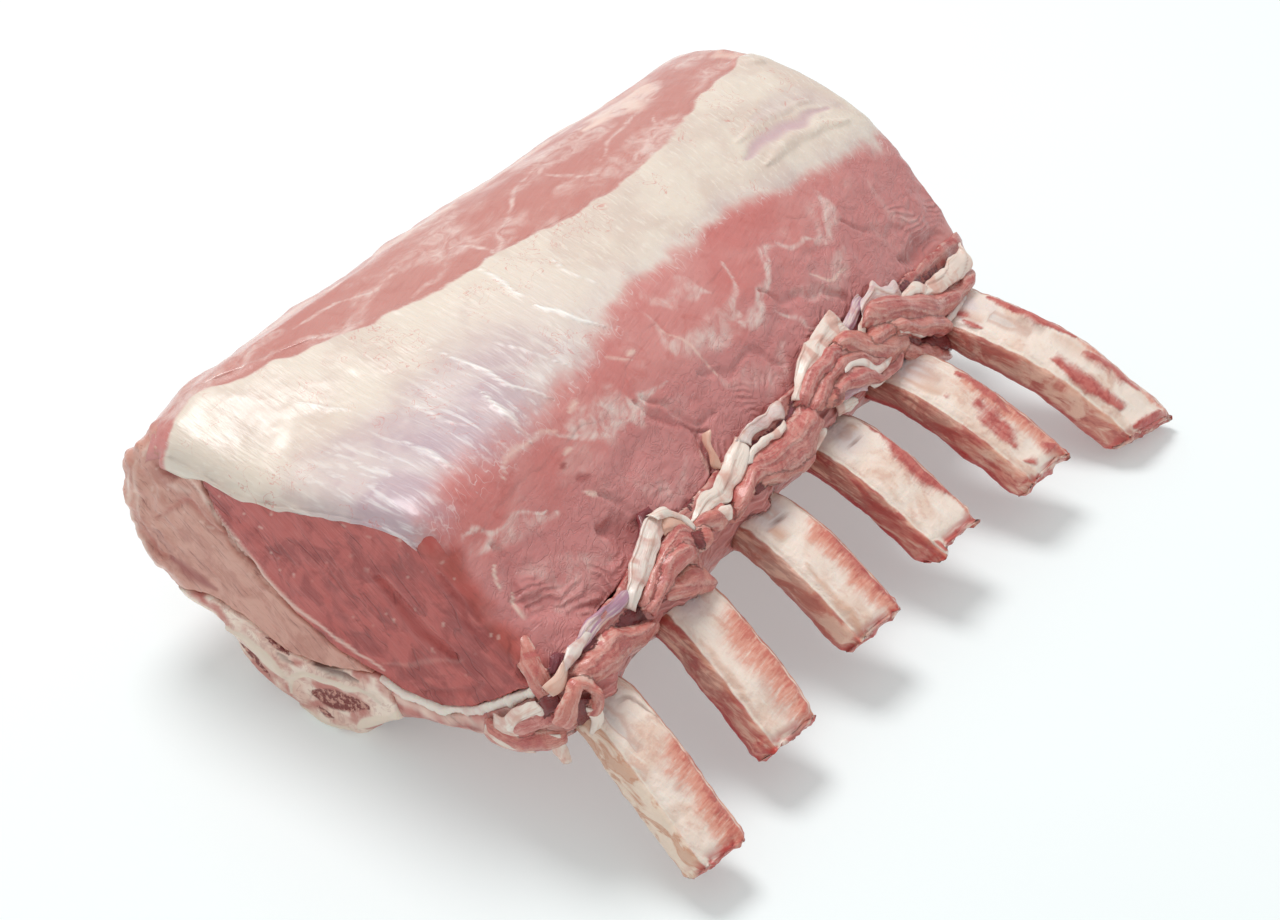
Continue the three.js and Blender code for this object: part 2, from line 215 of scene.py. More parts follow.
class Finish:
    """One material: its shader, and the nodes that vary it over the surface."""

    def __init__(self, name, **shader):
        self.material = bpy.data.materials.new(name)
        self.material.use_nodes = True
        self.nodes = self.material.node_tree.nodes
        self.links = self.material.node_tree.links
        self.shader = self.nodes["Principled BSDF"]
        place = self.node("ShaderNodeTexCoord", {}, {}, "Object")
        self.place = self.node(
            "ShaderNodeVectorMath", {"operation": "SCALE"}, {0: place, "Scale": 1 / MM}, "Vector"
        )
        for socket, value in shader.items():
            self.put(self.shader.inputs[socket.replace("_", " ")], value)

    def put(self, socket, value):
        if isinstance(value, Link):
            self.links.new(value.socket, socket)
        else:
            socket.default_value = value

    def node(self, kind, settings, inputs, output=0):
        """Any node: its type, its settings, and the values or links of its sockets."""
        node = self.nodes.new(kind)
        for name, value in settings.items():
            setattr(node, name, value)
        for name, value in inputs.items():
            self.put(node.inputs[name], value)
        return Link(self, node.outputs[output])

    def mask(self, name):
        """A number stored at every point of the mesh."""
        return self.node("ShaderNodeAttribute", {"attribute_name": name}, {}, "Fac")

    def noise(self, size, stretch=(1, 1, 1), turn=(0, 0, 0), detail=2.0, rough=0.5, seed=0.0, warp=0.0):
        """Cloudy noise whose blobs are about size millimetres, longer along a turned axis."""
        inputs = {
            "Vector": self.place,
            "Location": (7.3 * seed, 3.1 * seed, 5.7 * seed),
            "Rotation": tuple(math.radians(angle) for angle in turn),
            "Scale": tuple(size * part for part in stretch),
        }
        spot = self.node("ShaderNodeMapping", {"vector_type": "TEXTURE"}, inputs)
        more = {"Vector": spot, "Scale": 1.0, "Detail": detail, "Roughness": rough, "Distortion": warp}
        return self.node("ShaderNodeTexNoise", {}, more)

    def mix(self, first, second, amount):
        """From the first colour to the second."""
        return self.node("ShaderNodeMix", {"data_type": "RGBA"}, {0: amount, 6: first, 7: second}, 2)

    def coats(self, colour, *layers):
        """The colour under several coats, each given as its own colour and how much of it there is."""
        for paint, amount in layers:
            colour = self.mix(colour, paint, amount)
        return colour

    def bump(self, height, distance):
        """A Normal link from a height, whose full step is distance millimetres."""
        return self.node("ShaderNodeBump", {}, {"Height": height, "Distance": distance * MM})

    def wear(self, **sockets):
        """Feeds the shader's own sockets."""
        for socket, value in sockets.items():
            self.put(self.shader.inputs[socket.replace("_", " ")], value)


print("shader helpers ready")

# %% [markdown]
# The table is a matt white that is only a little darker than paper, with a trace of mottling, so
# that it stays plain and lets the soft shadows show.

# %% Table finish
table_finish = Finish(
    "light table", Roughness=0.9, Specular_IOR_Level=0.2,
    Emission_Color=(0.88, 1.0, 1.0, 1.0), Emission_Strength=TABLE_GLOW,
)
table_cloud = table_finish.noise(90.0, detail=1.0)
table_finish.wear(Base_Color=table_finish.mix(tone(218, 222, 222), tone(221, 225, 225), table_cloud))
table.data.materials.append(table_finish.material)
print("table finished")

# %% [markdown]
# ## Shaping helpers
#
# Raw meat is never smooth, so most pieces end with their points pushed in and out by noise. The
# noise here is the classic gradient kind: random slopes at the corners of a lattice, blended
# smoothly between them. It is seeded, so the rack comes out the same each time.

# %% Noise on points


def scatter(cells, seed):
    """A steady random number from 0 to 1 for each whole-number lattice cell."""
    x, y, z = (cells[:, axis].astype(np.uint64) for axis in range(3))
    mixed = x * np.uint64(73856093) ^ y * np.uint64(19349663) ^ z * np.uint64(83492791)
    mixed ^= np.uint64(seed * 2654435761 + 97)
    mixed = (mixed ^ (mixed >> np.uint64(31))) * np.uint64(0x9E3779B97F4A7C15)
    mixed = (mixed ^ (mixed >> np.uint64(29))) * np.uint64(0xBF58476D1CE4E5B9)
    return (mixed >> np.uint64(40)).astype(float) / float(1 << 24)


def noise(points, size, seed=0, stretch=(1, 1, 1)):
    """Smooth random values, mostly from -1 to 1, that change over about size millimetres."""
    spot = points / (size * np.array(stretch, float))
    cell = np.floor(spot).astype(np.int64)
    inside = spot - cell
    ease = inside ** 3 * (inside * (inside * 6 - 15) + 10)
    total = np.zeros(len(points))
    for corner in product((0, 1), repeat=3):
        step = np.array(corner)
        slope = np.stack([scatter(cell + step, 3 * seed + axis) * 2 - 1 for axis in range(3)], axis=1)
        weight = np.prod(np.where(step == 1, ease, 1 - ease), axis=1)
        total += weight * np.sum(slope * (inside - step), axis=1)
    return total * 1.6


def cloud(points, size, seed, layers, stretch=(1, 1, 1)):
    """Several sizes of noise on top of each other, each half as large as the one before."""
    return sum(noise(points, size / 2 ** n, seed + 11 * n, stretch) / 2 ** n for n in range(layers))


def ridge(points, size, seed, stretch):
    """1 on thin winding lines and 0 between them."""
    return np.clip(1 - np.abs(noise(points, size, seed, stretch)) * 4, 0, 1)


def ramp(values, low, high):
    """0 under low and 1 over high, with a soft step between; it falls if low is over high."""
    share = np.clip((np.asarray(values, float) - low) / (high - low), 0, 1)
    return share * share * (3 - 2 * share)


def bell(values, middle, width):
    """1 at the middle, falling away over width on both sides."""
    return np.exp(-(((np.asarray(values, float) - middle) / width) ** 2))


print("noise from", noise(np.array([[0.5, 0.2, 0.1]]), 1.0)[0])

# %% [markdown]
# Brush strokes decide where the skin is hazy, where a crease runs and where marrow shows. A stroke
# is a smooth curve through a few points on a face of the rack, and `brush` says how strongly it
# covers each point of a mesh.

# %% Strokes


def curve(stops, count=24):
    """Points on the smooth curve through the stops."""
    stops = np.array(stops, float)
    ends = np.vstack([2 * stops[0] - stops[1], stops, 2 * stops[-1] - stops[-2]])
    spots = np.linspace(0, len(stops) - 1 - 1e-9, count)
    first = np.floor(spots).astype(int)
    t = (spots - first)[:, None]
    p0, p1, p2, p3 = (ends[first + n] for n in range(4))
    cubic = 2 * p1 + (p2 - p0) * t + (2 * p0 - 5 * p1 + 4 * p2 - p3) * t ** 2
    return (cubic + (3 * p1 - p0 - 3 * p2 + p3) * t ** 3) / 2


def to_line(flat, line):
    """How far each point lies from a line of straight bits, and how far along it, from 0 to 1."""
    best = np.full(len(flat), np.inf)
    along = np.zeros(len(flat))
    for n in range(len(line) - 1):
        step = line[n + 1] - line[n]
        t = np.clip((flat - line[n]) @ step / max(step @ step, 1e-9), 0, 1)
        gap = np.linalg.norm(flat - line[n] - t[:, None] * step, axis=1)
        nearer = gap < best
        best = np.where(nearer, gap, best)
        along = np.where(nearer, (n + t) / (len(line) - 1), along)
    return best, along


def brush(flat, stops, width):
    """1 along the middle of a stroke through the stops and 0 beyond its width."""
    line = curve(stops, max(6 * len(stops), 8)) if len(stops) > 1 else np.array([stops[0], stops[0]], float)
    gap, along = to_line(flat, line)
    reach = width * (0.35 + 0.65 * np.sin(np.pi * np.clip(along, 0, 1)))
    return np.clip(1 - (gap / reach) ** 2, 0, 1) ** 1.5


def strongest(*masks):
    """The largest of several masks at each point."""
    return np.max(masks, axis=0)


def brushes(flat, strokes):
    """The strongest of several strokes, each (width, strength, stops), and 0 beside them all."""
    covers = [strength * brush(flat, stops, width) for width, strength, stops in strokes]
    return strongest(np.zeros(len(flat)), *covers)


print("a stroke of three stops has", len(curve([(0, 0), (1, 1), (2, 0)])), "points")

# %% [markdown]
# CAD meshes are loose triangles, so a copy is merged before anything else. A voxel remesh then
# rebuilds it from small even faces, which can be smoothed, refined where the eye looks closest,
# and pushed about. Nothing here touches the CAD nodes themselves.

# %% Mesh helpers
COARSE = 1.0


def cad_copy(*nodes):
    """One mesh of the CAD nodes named, with the doubled corners of its triangles merged."""
    bm = bmesh.new()
    for node in nodes:
        bm.from_mesh(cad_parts[node].data)
    bmesh.ops.remove_doubles(bm, verts=bm.verts, dist=0.001 * MM)
    return bm


def even(bm, voxel, rounds):
    """The mesh built again from even faces of about voxel millimetres, then smoothed."""
    draft = bpy.data.objects.new("draft", bpy.data.meshes.new("draft"))
    bm.to_mesh(draft.data)
    bm.free()
    scene.collection.objects.link(draft)
    remesh = draft.modifiers.new("even faces", "REMESH")
    remesh.mode = "VOXEL"
    remesh.voxel_size = voxel * COARSE * MM
    smooth = draft.modifiers.new("smooth", "SMOOTH")
    smooth.factor = 0.5
    smooth.iterations = rounds
    graph = bpy.context.evaluated_depsgraph_get()
    mesh = bpy.data.meshes.new_from_object(draft.evaluated_get(graph))
    bpy.data.objects.remove(draft)
    bm = bmesh.new()
    bm.from_mesh(mesh)
    bpy.data.meshes.remove(mesh)
    return bm


def points_of(bm):
    """The places of a mesh's points, in millimetres."""
    return np.array([vert.co for vert in bm.verts]).reshape(-1, 3) / MM


def normals_of(bm):
    bm.normal_update()
    return np.array([vert.normal for vert in bm.verts]).reshape(-1, 3)


def set_points(bm, points):
    """Moves the points of a mesh to places in millimetres."""
    for vert, point in zip(bm.verts, points * MM):
        vert.co = point
    bm.normal_update()


def refine(bm, chosen):
    """Cuts in four the faces whose centres and normals, in millimetres, are chosen."""
    centres = np.array([face.calc_center_median() for face in bm.faces]) / MM
    normals = np.array([face.normal for face in bm.faces])
    keep = chosen(centres, normals)
    edges = {edge for face, kept in zip(bm.faces, keep) if kept for edge in face.edges}
    bmesh.ops.subdivide_edges(bm, edges=list(edges), cuts=1, use_grid_fill=True)


def piece(name, bm, finish, replaces, masks):
    """A finished piece of the rack, with its masks stored at its points."""
    mesh = bpy.data.meshes.new(name)
    bm.to_mesh(mesh)
    bm.free()
    for mask, values in masks.items():
        mesh.attributes.new(mask, "FLOAT", "POINT").data.foreach_set("value", values.astype(np.float32))
    mesh.shade_smooth()
    mesh.materials.append(finish.material)
    made = bpy.data.objects.new(name, mesh)
    scene.collection.objects.link(made)
    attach(made, "root")
    if replaces:
        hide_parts(*replaces)
    triangles = sum(len(face.vertices) - 2 for face in mesh.polygons)
    print(f"{name}: {triangles} triangles")
    return made

# %% [markdown]
# The CAD facets are long and flat. Joined, remeshed and well smoothed, the soft nodes give one
# smooth body, which is never shown: it is the shape that the skin of every muscle is laid against,
# so that neighbours meet without a step.

# %% The smooth body
BODY_NODES = ["eye_muscle", "inner_muscle", "fat_cover", "seam_fat", "rib_layer", "backbone"]
body = even(cad_copy(*BODY_NODES), voxel=1.3, rounds=14)
body_tree = BVHTree.FromBMesh(body)
print("smooth body has", len(body.faces), "faces")


def laid_on_body(points, normals, near=0.8, far=1.7):
    """The points moved onto the smooth body where they are close to it and face the same way."""
    placed = points.copy()
    for n, (point, normal) in enumerate(zip(points, normals)):
        spot, facing, _, gap = body_tree.find_nearest(Vector(point * MM), far * MM)
        if spot is None or facing.dot(Vector(normal)) < 0.3:
            continue
        share = 1 - min(max((gap / MM - near) / (far - near), 0), 1)
        placed[n] += share * (np.array(spot) / MM - point)
    return placed

# %% [markdown]
# One field of relief runs over every muscle alike, so neighbours match where they meet. Broad lumps
# make the flank swell and sink. Creases lie where the meat was pulled as the bones were cleaned, and
# one long groove crosses the near face: a crease is a brush stroke pressed into the skin. Fine rings
# wrinkle the skin beside each rib, and the back and the near left rim have lumps of their own.

# %% Relief of the meat
FLANK_CREASES = [
    (0.9, 0.7, [(-88, 62), (-89, 59), (-90, 56), (-92, 54)]),
    (1.1, 0.6, [(-88, 49), (-86, 46), (-81, 45)]),
    (2.0, 1.0, [(-25, 53), (-26, 48), (-29, 44)]),
    (1.5, 0.7, [(-59, 57), (-56, 52), (-52, 48)]),
    (1.6, 0.7, [(-35, 63), (-30, 57), (-22, 52)]),
    (1.4, 0.6, [(-31, 62), (-25, 56), (-17, 53)]),
    (1.5, 0.7, [(-89, 62), (-90, 57), (-92, 51)]),
    (2.0, 0.6, [(-94, 53), (-87, 48), (-76, 45)]),
    (4.5, 1.3, [(-64, 52), (-58, 49), (-54, 49)]),
    (1.4, 0.6, [(-14, 60), (-6, 56), (6, 55), (12, 50)]),
    (1.6, 0.7, [(20, 60), (30, 55), (38, 53), (45, 48)]),
    (1.5, 0.6, [(60, 58), (68, 52), (80, 48)]),
    (4.0, 1.2, [(72, 44), (84, 42), (95, 40)]),
]
FACE_CREASES = [
    (2.4, 1.1, [(17, 52), (23, 47), (29, 42), (36, 40)]),
    (1.1, 0.5, [(-45, 41), (-41, 44), (-37, 48), (-34, 50), (-30, 46), (-26, 45)]),
    (1.2, 0.5, [(-50, 38), (-48, 31), (-42, 30)]),
    (1.2, 0.5, [(27, 25), (33, 28), (38, 31), (43, 36)]),
    (1.6, 0.7, [(-29, 52), (-25, 46), (-18, 38), (-8, 31)]),
    (2.2, 1.2, [(51, 44), (54, 41)]),
    (3.0, 1.2, [(-42, 56), (-36, 57)]),
    (1.0, 0.4, [(32, 61), (37, 56), (41, 49)]),
]
RING_STEP = 2.1
SWIRLS = [(50, -90, 37), (50, -58, 35), (52, -20, 37), (50, 14, 35), (48, 50, 40), (46, 84, 35)]


def facing(normals, axis, low=0.35, high=0.75):
    """How squarely each point faces along an axis, from 0 to 1."""
    return ramp(normals @ np.array(axis, float), low, high)


def flank_share(points, normals):
    """1 on the outer flank, where the wet lean meat shows, and 0 elsewhere."""
    return facing(normals, (1, 0, 0.2)) * ramp(points[:, 2], 38, 44)


def shaken(points, size, seed, wobble):
    """Small random steps in two directions, which make a stroke waver."""
    return np.stack([noise(points, size, seed), noise(points, size, seed + 1)], axis=1) * wobble


def on_flank(points, strokes, wobble=1.0):
    """Strokes given as (y, z), laid on the outer flank."""
    return brushes(points[:, 1:] + shaken(points, 7, 31, wobble), strokes)


def on_face(points, strokes, wobble=0.8):
    """Strokes given as (x, z), laid on a cut face."""
    return brushes(points[:, [0, 2]] + shaken(points, 5, 33, wobble), strokes)


def on_top(points, strokes, wobble=1.0):
    """Strokes given as (x, y), laid on the upper side."""
    return brushes(points[:, :2] + shaken(points, 7, 35, wobble), strokes)


def swirl_masks(points):
    """How far each point is from the nearest swirl's middle, and how wrinkled it is there."""
    ring = np.full(len(points), 99.0)
    for number, middle in enumerate(SWIRLS):
        away = (points - np.array(middle)) * np.array([1, 0.85, 1.2])
        ring = np.minimum(ring, np.linalg.norm(away, axis=1) + 5 * noise(points, 15, 70 + number))
    ring += 1.5 * cloud(points, 8, 77, 3)
    return ring, ramp(cloud(points, 10, 75, 2), -0.15, 0.4) * ramp(ring, 26, 18)


def relief(points, normals):
    """How far the skin of the meat stands out from the smooth body, in millimetres."""
    flank = flank_share(points, normals)
    low_flank = flank * ramp(points[:, 2], 66, 58)
    near = facing(normals, (0, -1, 0)) * ramp(points[:, 1], NEAR + 5, NEAR + 1.5)
    ends = np.maximum(near, facing(normals, (0, 1, 0)))
    height = 0.45 * cloud(points, 24, 1, 2) * (1 - 0.7 * ends)
    height += 0.5 * cloud(points, 9, 2, 3) * low_flank
    height -= 0.5 * low_flank * ramp(cloud(points, 16, 3, 1), 0, 0.4) * ridge(points, 13, 4, (1, 1.8, 1))
    height -= flank * on_flank(points, FLANK_CREASES, 2.0)
    ring, swirl = swirl_masks(points)
    height += 0.06 * np.sin(2 * np.pi * ring / RING_STEP) * swirl * flank
    back = facing(normals, (-1, 0, 0))
    height += back * (0.7 * cloud(points, 15, 7, 3) - 0.6 * ridge(points, 20, 8, (1, 2.4, 1)))
    left_rim = ramp(points[:, 0], -34, -44) * ramp(points[:, 1], NEAR + 9, NEAR + 3)
    height += 0.9 * left_rim * cloud(points, 6, 9, 3)
    height -= near * on_face(points, FACE_CREASES)
    height += near * 0.22 * cloud(points, 6, 6, 2, (1, 1, 1))
    height += 0.07 * cloud(points, 2.2, 5, 2) * (0.4 + flank)
    return height


print("relief at the crown:", relief(np.array([[0.0, 0.0, TOP]]), np.array([[0.0, 0.0, 1.0]]))[0])

# %% [markdown]
# ## The lean meat
#
# Raw pork is a translucent pink with fine pale fibres, and a wet film over all of it. One recipe
# serves every muscle. Masks on the mesh say where a hazy membrane lies on it (`haze`), where it is
# cut across and darker (`cut`), where it is deep red, together with creases painted dark red as
# shade (`blood_and_crease_shade`), where it is browned by the air, together with two creases of the
# cut face painted brown as shade (`rust_and_crease_shade`), and where white fat runs in it (`pale`).
# Low on the flank the skin is greyer and crumpled (`mauve`), with painted shade along its folds, on
# the left strip it is duller (`tan`), and the back has some of both. Beside each rib the skin is
# wrinkled like a fingertip: the mesh stores the distance from the middle of that swirl (`ring`) and
# how strong it is (`swirl`), and a sine wave makes the wrinkles, with painted shade in their troughs
# and painted highlights on their crests. Dark split lines open between the bundles of fibre on a
# cut face, and their darkness is painted shade.

# %% Meat recipe


def skin_colours(finish, broad, patch):
    """The outside of a muscle: rosy, greyer where it is wrinkled, with painted shade and highlights on its
    wrinkles, film and fine threads.
    """
    swirl, haze = finish.mask("swirl"), finish.mask("haze")
    lean = finish.coats(
        tone(204, 120, 114),
        (tone(210, 140, 134), broad.span(0.35, 0.65)),
        (tone(190, 96, 88), patch.span(0.52, 0.72) * 0.5),
        (tone(202, 132, 130), finish.mask("mauve") * 0.75),
        (tone(186, 130, 118), finish.mask("tan")),
    )
    wave = (finish.mask("ring") * (2 * math.pi / RING_STEP)).sine()
    wrinkle = wave * swirl
    # Painted shade in the troughs of the wrinkles, and painted highlight on their crests.
    lean = finish.coats(
        lean,
        (tone(172, 84, 82), (0 - wrinkle).span(0.3, 1.0) * 0.25),
        (tone(226, 168, 162), wrinkle.span(0.3, 1.0) * 0.3),
    )
    crumple = finish.noise(
        3.4, stretch=(1, 1.8, 1), turn=(30, 0, 0), detail=3.0, rough=0.6, seed=6.0, warp=0.8
    )
    fold_line = (crumple - 0.5).absolute().span(0.06, 0.0) * finish.mask("mauve")
    # Painted shade: a darker line along the folds of the crumpled skin, which the bump also sinks.
    lean = finish.mix(lean, tone(178, 96, 92), fold_line * 0.15)
    film = finish.noise(
        4.5, stretch=(1, 2.4, 1), turn=(35, 0, 10), detail=6.0, rough=0.62, seed=7.0, warp=1.5
    )
    veil = (haze * (film * 3.2 - 0.75)).span(0.05, 1.15)
    lean = finish.mix(lean, tone(230, 206, 197), veil * 0.85)
    return lean, wrinkle * 0.5 - fold_line * 0.3


def meat_colours(finish, sawn=((190, 86, 79), (156, 56, 52)), strong=1.0, splits=0.4):
    """The colour of wet lean meat, and the height of its fibres."""
    broad = finish.noise(26.0, detail=3.0, seed=1.0, warp=0.6)
    patch = finish.noise(7.0, detail=4.0, rough=0.6, seed=2.0, warp=0.8)
    fibre = finish.noise(0.9, stretch=(1, 9, 1), turn=(0, 0, 12), detail=3.0, rough=0.6, seed=3.0)
    cut_fibre = finish.noise(0.8, stretch=(9, 1, 1), turn=(0, 38, 0), detail=3.0, rough=0.65, seed=4.0)
    cut, rust_and_crease_shade = finish.mask("cut"), finish.mask("rust_and_crease_shade")
    skin, wrinkle = skin_colours(finish, broad, patch)
    skin = finish.coats(
        skin,
        (tone(222, 166, 158), fibre.span(0.55, 0.8) * 0.22),
        (tone(160, 74, 70), fibre.span(0.45, 0.25) * 0.2),
    )
    face = finish.coats(
        tone(*sawn[0]),
        (tone(*sawn[1]), patch.span(0.4, 0.66)),
        (tone(206, 128, 115), cut_fibre.span(0.53, 0.75) * 0.32 * strong),
        (tone(122, 46, 43), cut_fibre.span(0.47, 0.25) * 0.5 * strong),
        # Edges of the cut browned by the air, and brown painted as shade along two creases of the near face.
        (tone(188, 98, 84), rust_and_crease_shade * (patch * 1.2).span(0.3, 0.8) * 0.75),
    )
    split = finish.noise(9.0, stretch=(3.5, 1, 1), turn=(0, 45, 0), detail=2.0, seed=11.0, warp=0.5)
    split = (split - 0.5).absolute().span(0.02, 0.0) * patch.span(0.42, 0.55)
    # Painted shade: dark lines in the splits between fibre bundles, which the bump also sinks.
    face = finish.mix(face, tone(126, 46, 42), split * splits)
    lean = finish.coats(
        skin,
        (face, cut),
        # Deep red meat, and dark red painted as shade in the creases that its strokes follow.
        (tone(148, 52, 48), finish.mask("blood_and_crease_shade") * 0.8),
        (tone(236, 205, 190), finish.mask("pale")),
    )
    grain = finish.node("ShaderNodeMix", {"data_type": "FLOAT"}, {0: cut, 2: fibre, 3: cut_fibre})
    return lean, grain * 0.5 + patch * 0.5 + wrinkle - split * cut * splits


def meat_finish(name, sawn=((190, 86, 79), (156, 56, 52)), strong=1.0, splits=0.4):
    """A finish for one muscle."""
    finish = Finish(
        name,
        Roughness=0.42,
        Subsurface_Weight=0.15,
        Subsurface_Radius=(1.0, 0.35, 0.25),
        Subsurface_Scale=2.0 * MM,
        Coat_Weight=0.42,
        Coat_Roughness=0.13,
        Specular_IOR_Level=0.4,
    )
    colour, height = meat_colours(finish, sawn, strong, splits)
    damp = finish.noise(4.0, detail=3.0, seed=9.0)
    finish.wear(
        Base_Color=colour,
        Roughness=0.52 - damp * 0.22 + finish.mask("cut") * 0.1,
        Normal=finish.bump(height, 0.35),
    )
    return finish


lean_finish = meat_finish("lean meat")
pale_finish = meat_finish("pale meat", ((214, 160, 143), (194, 134, 118)), 1.3, 0.1)
print("meat finishes ready")

# %% [markdown]
# The marks of the two muscles are listed as strokes in millimetres: (y, z) on the flank, (x, y) on
# the left strip and (x, z) on the near face. Each has a width, a strength and the stops it runs
# through.

# %% Strokes on the flank, the left strip and the near face
NEAR_DEPTH = 3.4
FLANK_HAZE = [
    (0.9, 1.0, [(-97, 65), (-90, 64), (-84, 62), (-78, 61), (-72, 60)]),
    (3.4, 1.0, [(-43, 66), (-39, 64), (-34, 62)]),
    (2.4, 0.9, [(-50, 65), (-47, 64)]),
    (1.4, 0.9, [(-10, 71), (-5, 69), (7, 66)]),
    (3.2, 0.75, [(-12, 69), (-14, 65), (-10, 63), (1, 62), (9, 61)]),
    (1.6, 0.9, [(18, 67), (14, 64), (7, 62), (8, 59), (16, 59), (24, 61), (32, 63), (41, 62), (47, 61)]),
    (4.5, 0.7, [(62, 63), (57, 60), (47, 60)]),
    (5.5, 0.75, [(-54, 66), (-46, 64), (-39, 64), (-37, 60)]),
    (2.4, 0.7, [(-95, 63), (-84, 61), (-70, 58)]),
    (1.4, 0.9, [(-60, 67), (-48, 63), (-31, 62), (-23, 61)]),
    (3.0, 0.5, [(80, 57), (79, 51), (88, 47)]),
    (5.0, 0.5, [(-88, 56), (-80, 51), (-70, 50)]),
    (4.0, 0.45, [(-50, 54), (-42, 49), (-32, 50)]),
    (4.5, 0.45, [(-8, 55), (4, 50), (16, 51)]),
    (5.0, 0.5, [(30, 56), (42, 52), (54, 54)]),
    (1.2, 0.7, [(20, 57), (26, 52), (29, 46)]),
]
FLANK_PALE = [
    (1.4, 0.5, [(-27, 50), (-29, 46)]),
    (0.6, 1.0, [(-92, 59), (-94, 57), (-95, 55)]),
    (0.7, 1.0, [(-92, 54), (-94, 52), (-94, 50)]),
    (0.5, 0.7, [(-77, 68), (-72, 69), (-67, 69), (-61, 68), (-57, 67)]),
    (0.9, 0.8, [(-61, 58), (-59, 57)]),
    (0.7, 0.8, [(-51, 68), (-47, 68)]),
    (0.7, 0.7, [(-60, 64), (-57, 64)]),
    (0.6, 0.9, [(-27, 68), (-24, 68)]),
    (0.5, 0.6, [(-32, 69), (-27, 67)]),
    (0.5, 0.7, [(38, 56), (44, 53), (51, 52)]),
    (0.5, 0.6, [(-13, 68), (-10, 62), (-8, 56)]),
]
# The first two strokes are deep red spots; the others follow flank creases and paint them dark red as shade.
FLANK_BLOOD_AND_SHADE = [
    (1.0, 0.9, [(-63, 63), (-61, 63)]),
    (1.0, 0.7, [(-61, 60), (-58, 60)]),
    (3.0, 0.5, [(-64, 52), (-57, 49)]),
    (4.0, 0.5, [(72, 44), (84, 41), (95, 40)]),
    (1.2, 0.5, [(-90, 55), (-92, 50)]),
    (1.2, 0.6, [(-25, 51), (-27, 47), (-29, 44)]),
    (1.2, 0.45, [(-33, 60), (-28, 55), (-22, 52)]),
]
LEFT_HAZE = [
    (1.4, 0.8, [(-36, -48), (-31, -40), (-30, -31)]),
    (1.1, 0.8, [(-37, -60), (-35, -46)]),
    (1.2, 0.8, [(-12, -19), (-20, -3), (-32, 25)]),
    (1.4, 0.8, [(-26, 21), (-17, 21), (-12, 26)]),
    (1.1, 0.8, [(-16, 30), (-19, 40), (-23, 59), (-24, 67)]),
    (8.0, 0.95, [(-29, 76), (-27, 62), (-31, 48)]),
    (1.4, 0.9, [(-27, -22), (-24, -15), (-14, -16)]),
    (1.5, 0.8, [(-16, 56), (-11, 44), (-8, 32)]),
    (1.4, 0.8, [(-38, -79), (-33, -66), (-25, -56)]),
    (7.0, 0.9, [(-47, 60), (-41, 86), (-30, 100)]),
    (4.0, 0.5, [(-46, -20), (-40, 5), (-40, 30)]),
    (5.0, 0.6, [(-48, -66), (-44, -52), (-42, -38)]),
    (2.0, 0.6, [(-21, -40), (-20, -30), (-26, -14)]),
]
LEFT_PALE = [
    (6.5, 0.9, [(-31, 74), (-28, 60), (-31, 46)]),
    (4.5, 0.6, [(-43, -26), (-43, 0), (-41, 30), (-38, 50)]),
    (4.0, 0.5, [(-47, -70), (-45, -54), (-42, -40)]),
    (3.0, 0.6, [(-26, 98), (-20, 96), (-14, 99)]),
]
FACE_PALE = [
    (1.5, 0.8, [(-33, 57), (-28, 50), (-23, 44), (-17, 39), (-10, 34), (-3, 31), (16, 26)]),
    (1.3, 0.7, [(-44, 62), (-47, 57)]),
    (1.0, 0.65, [(-49, 54), (-50, 48), (-51, 43), (-50, 39)]),
    (1.1, 0.4, [(-27, 51), (-20, 43), (-14, 36), (-3, 30)]),
    (1.3, 0.75, [(-52, 50), (-54, 38), (-51, 30), (-46, 25)]),
    (1.0, 0.12, [(16, 28), (26, 33), (38, 40)]),
    (2.0, 0.4, [(-40, 52), (-34, 53)]),
]
# Strokes that follow one of the face creases paint it dark red as shade; the others are deep red meat.
FACE_BLOOD_AND_SHADE = [
    (1.8, 0.95, [(-41, 55), (-37, 56)]),
    (3.4, 0.3, [(-43, 57), (-40, 51)]),
    (2.6, 0.55, [(24, 63), (29, 59), (37, 55), (42, 53)]),
    (1.2, 0.6, [(32, 61), (37, 56), (40, 50)]),
    (3.2, 0.45, [(16, 50), (22, 45), (29, 40), (36, 38)]),
    (0.9, 0.5, [(-3, 61), (3, 57), (10, 57)]),
    (0.8, 0.5, [(9, 61), (11, 57), (15, 54)]),
    (1.0, 0.5, [(27, 25), (33, 28), (38, 31), (43, 36)]),
    (2.4, 0.9, [(51, 44), (54, 41)]),
    (2.2, 0.4, [(-29, 51), (-24, 45), (-17, 37)]),
    (2.6, 0.9, [(-43, 30), (-36, 28), (-30, 27)]),
]
# The third and fourth strokes follow two creases of the near face and paint them brown as shade; the others
# are edges of the cut browned by the air.
FACE_RUST_AND_SHADE = [
    (3.0, 0.55, [(-30, 58), (-14, 61), (-2, 64), (16, 69)]),
    (4.0, 0.8, [(28, 66), (38, 60), (45, 53), (53, 46), (59, 40)]),
    (1.0, 0.9, [(-45, 41), (-41, 44), (-37, 48), (-34, 50), (-30, 46), (-25, 45)]),
    (1.0, 0.8, [(-50, 38), (-48, 31), (-42, 30)]),
    (4.0, 0.4, [(-48, 52), (-42, 60), (-34, 58)]),
]
FLECK_SIZE = 0.34
FLECKS = [(13, 65), (18, 67), (21, 69), (25, 66), (25, 62), (23, 64), (10, 55), (14, 53), (20, 42), (33, 47)]

# %% [markdown]
# The strokes become masks. Each is faded out where it doesn't belong, by the way the skin faces and
# by how near the cut face is, and noise adds the marks too small to list.

# %% Masks of a muscle


def cut_share(points):
    """1 on the two cut faces, fading out raggedly a little way in."""
    near = ramp(points[:, 1] - 2.0 * cloud(points, 6, 36, 3), NEAR + 2 * NEAR_DEPTH, NEAR + 1.0)
    far = ramp(points[:, 1], FAR - NEAR_DEPTH, FAR - 1.0)
    return np.maximum(near, far)


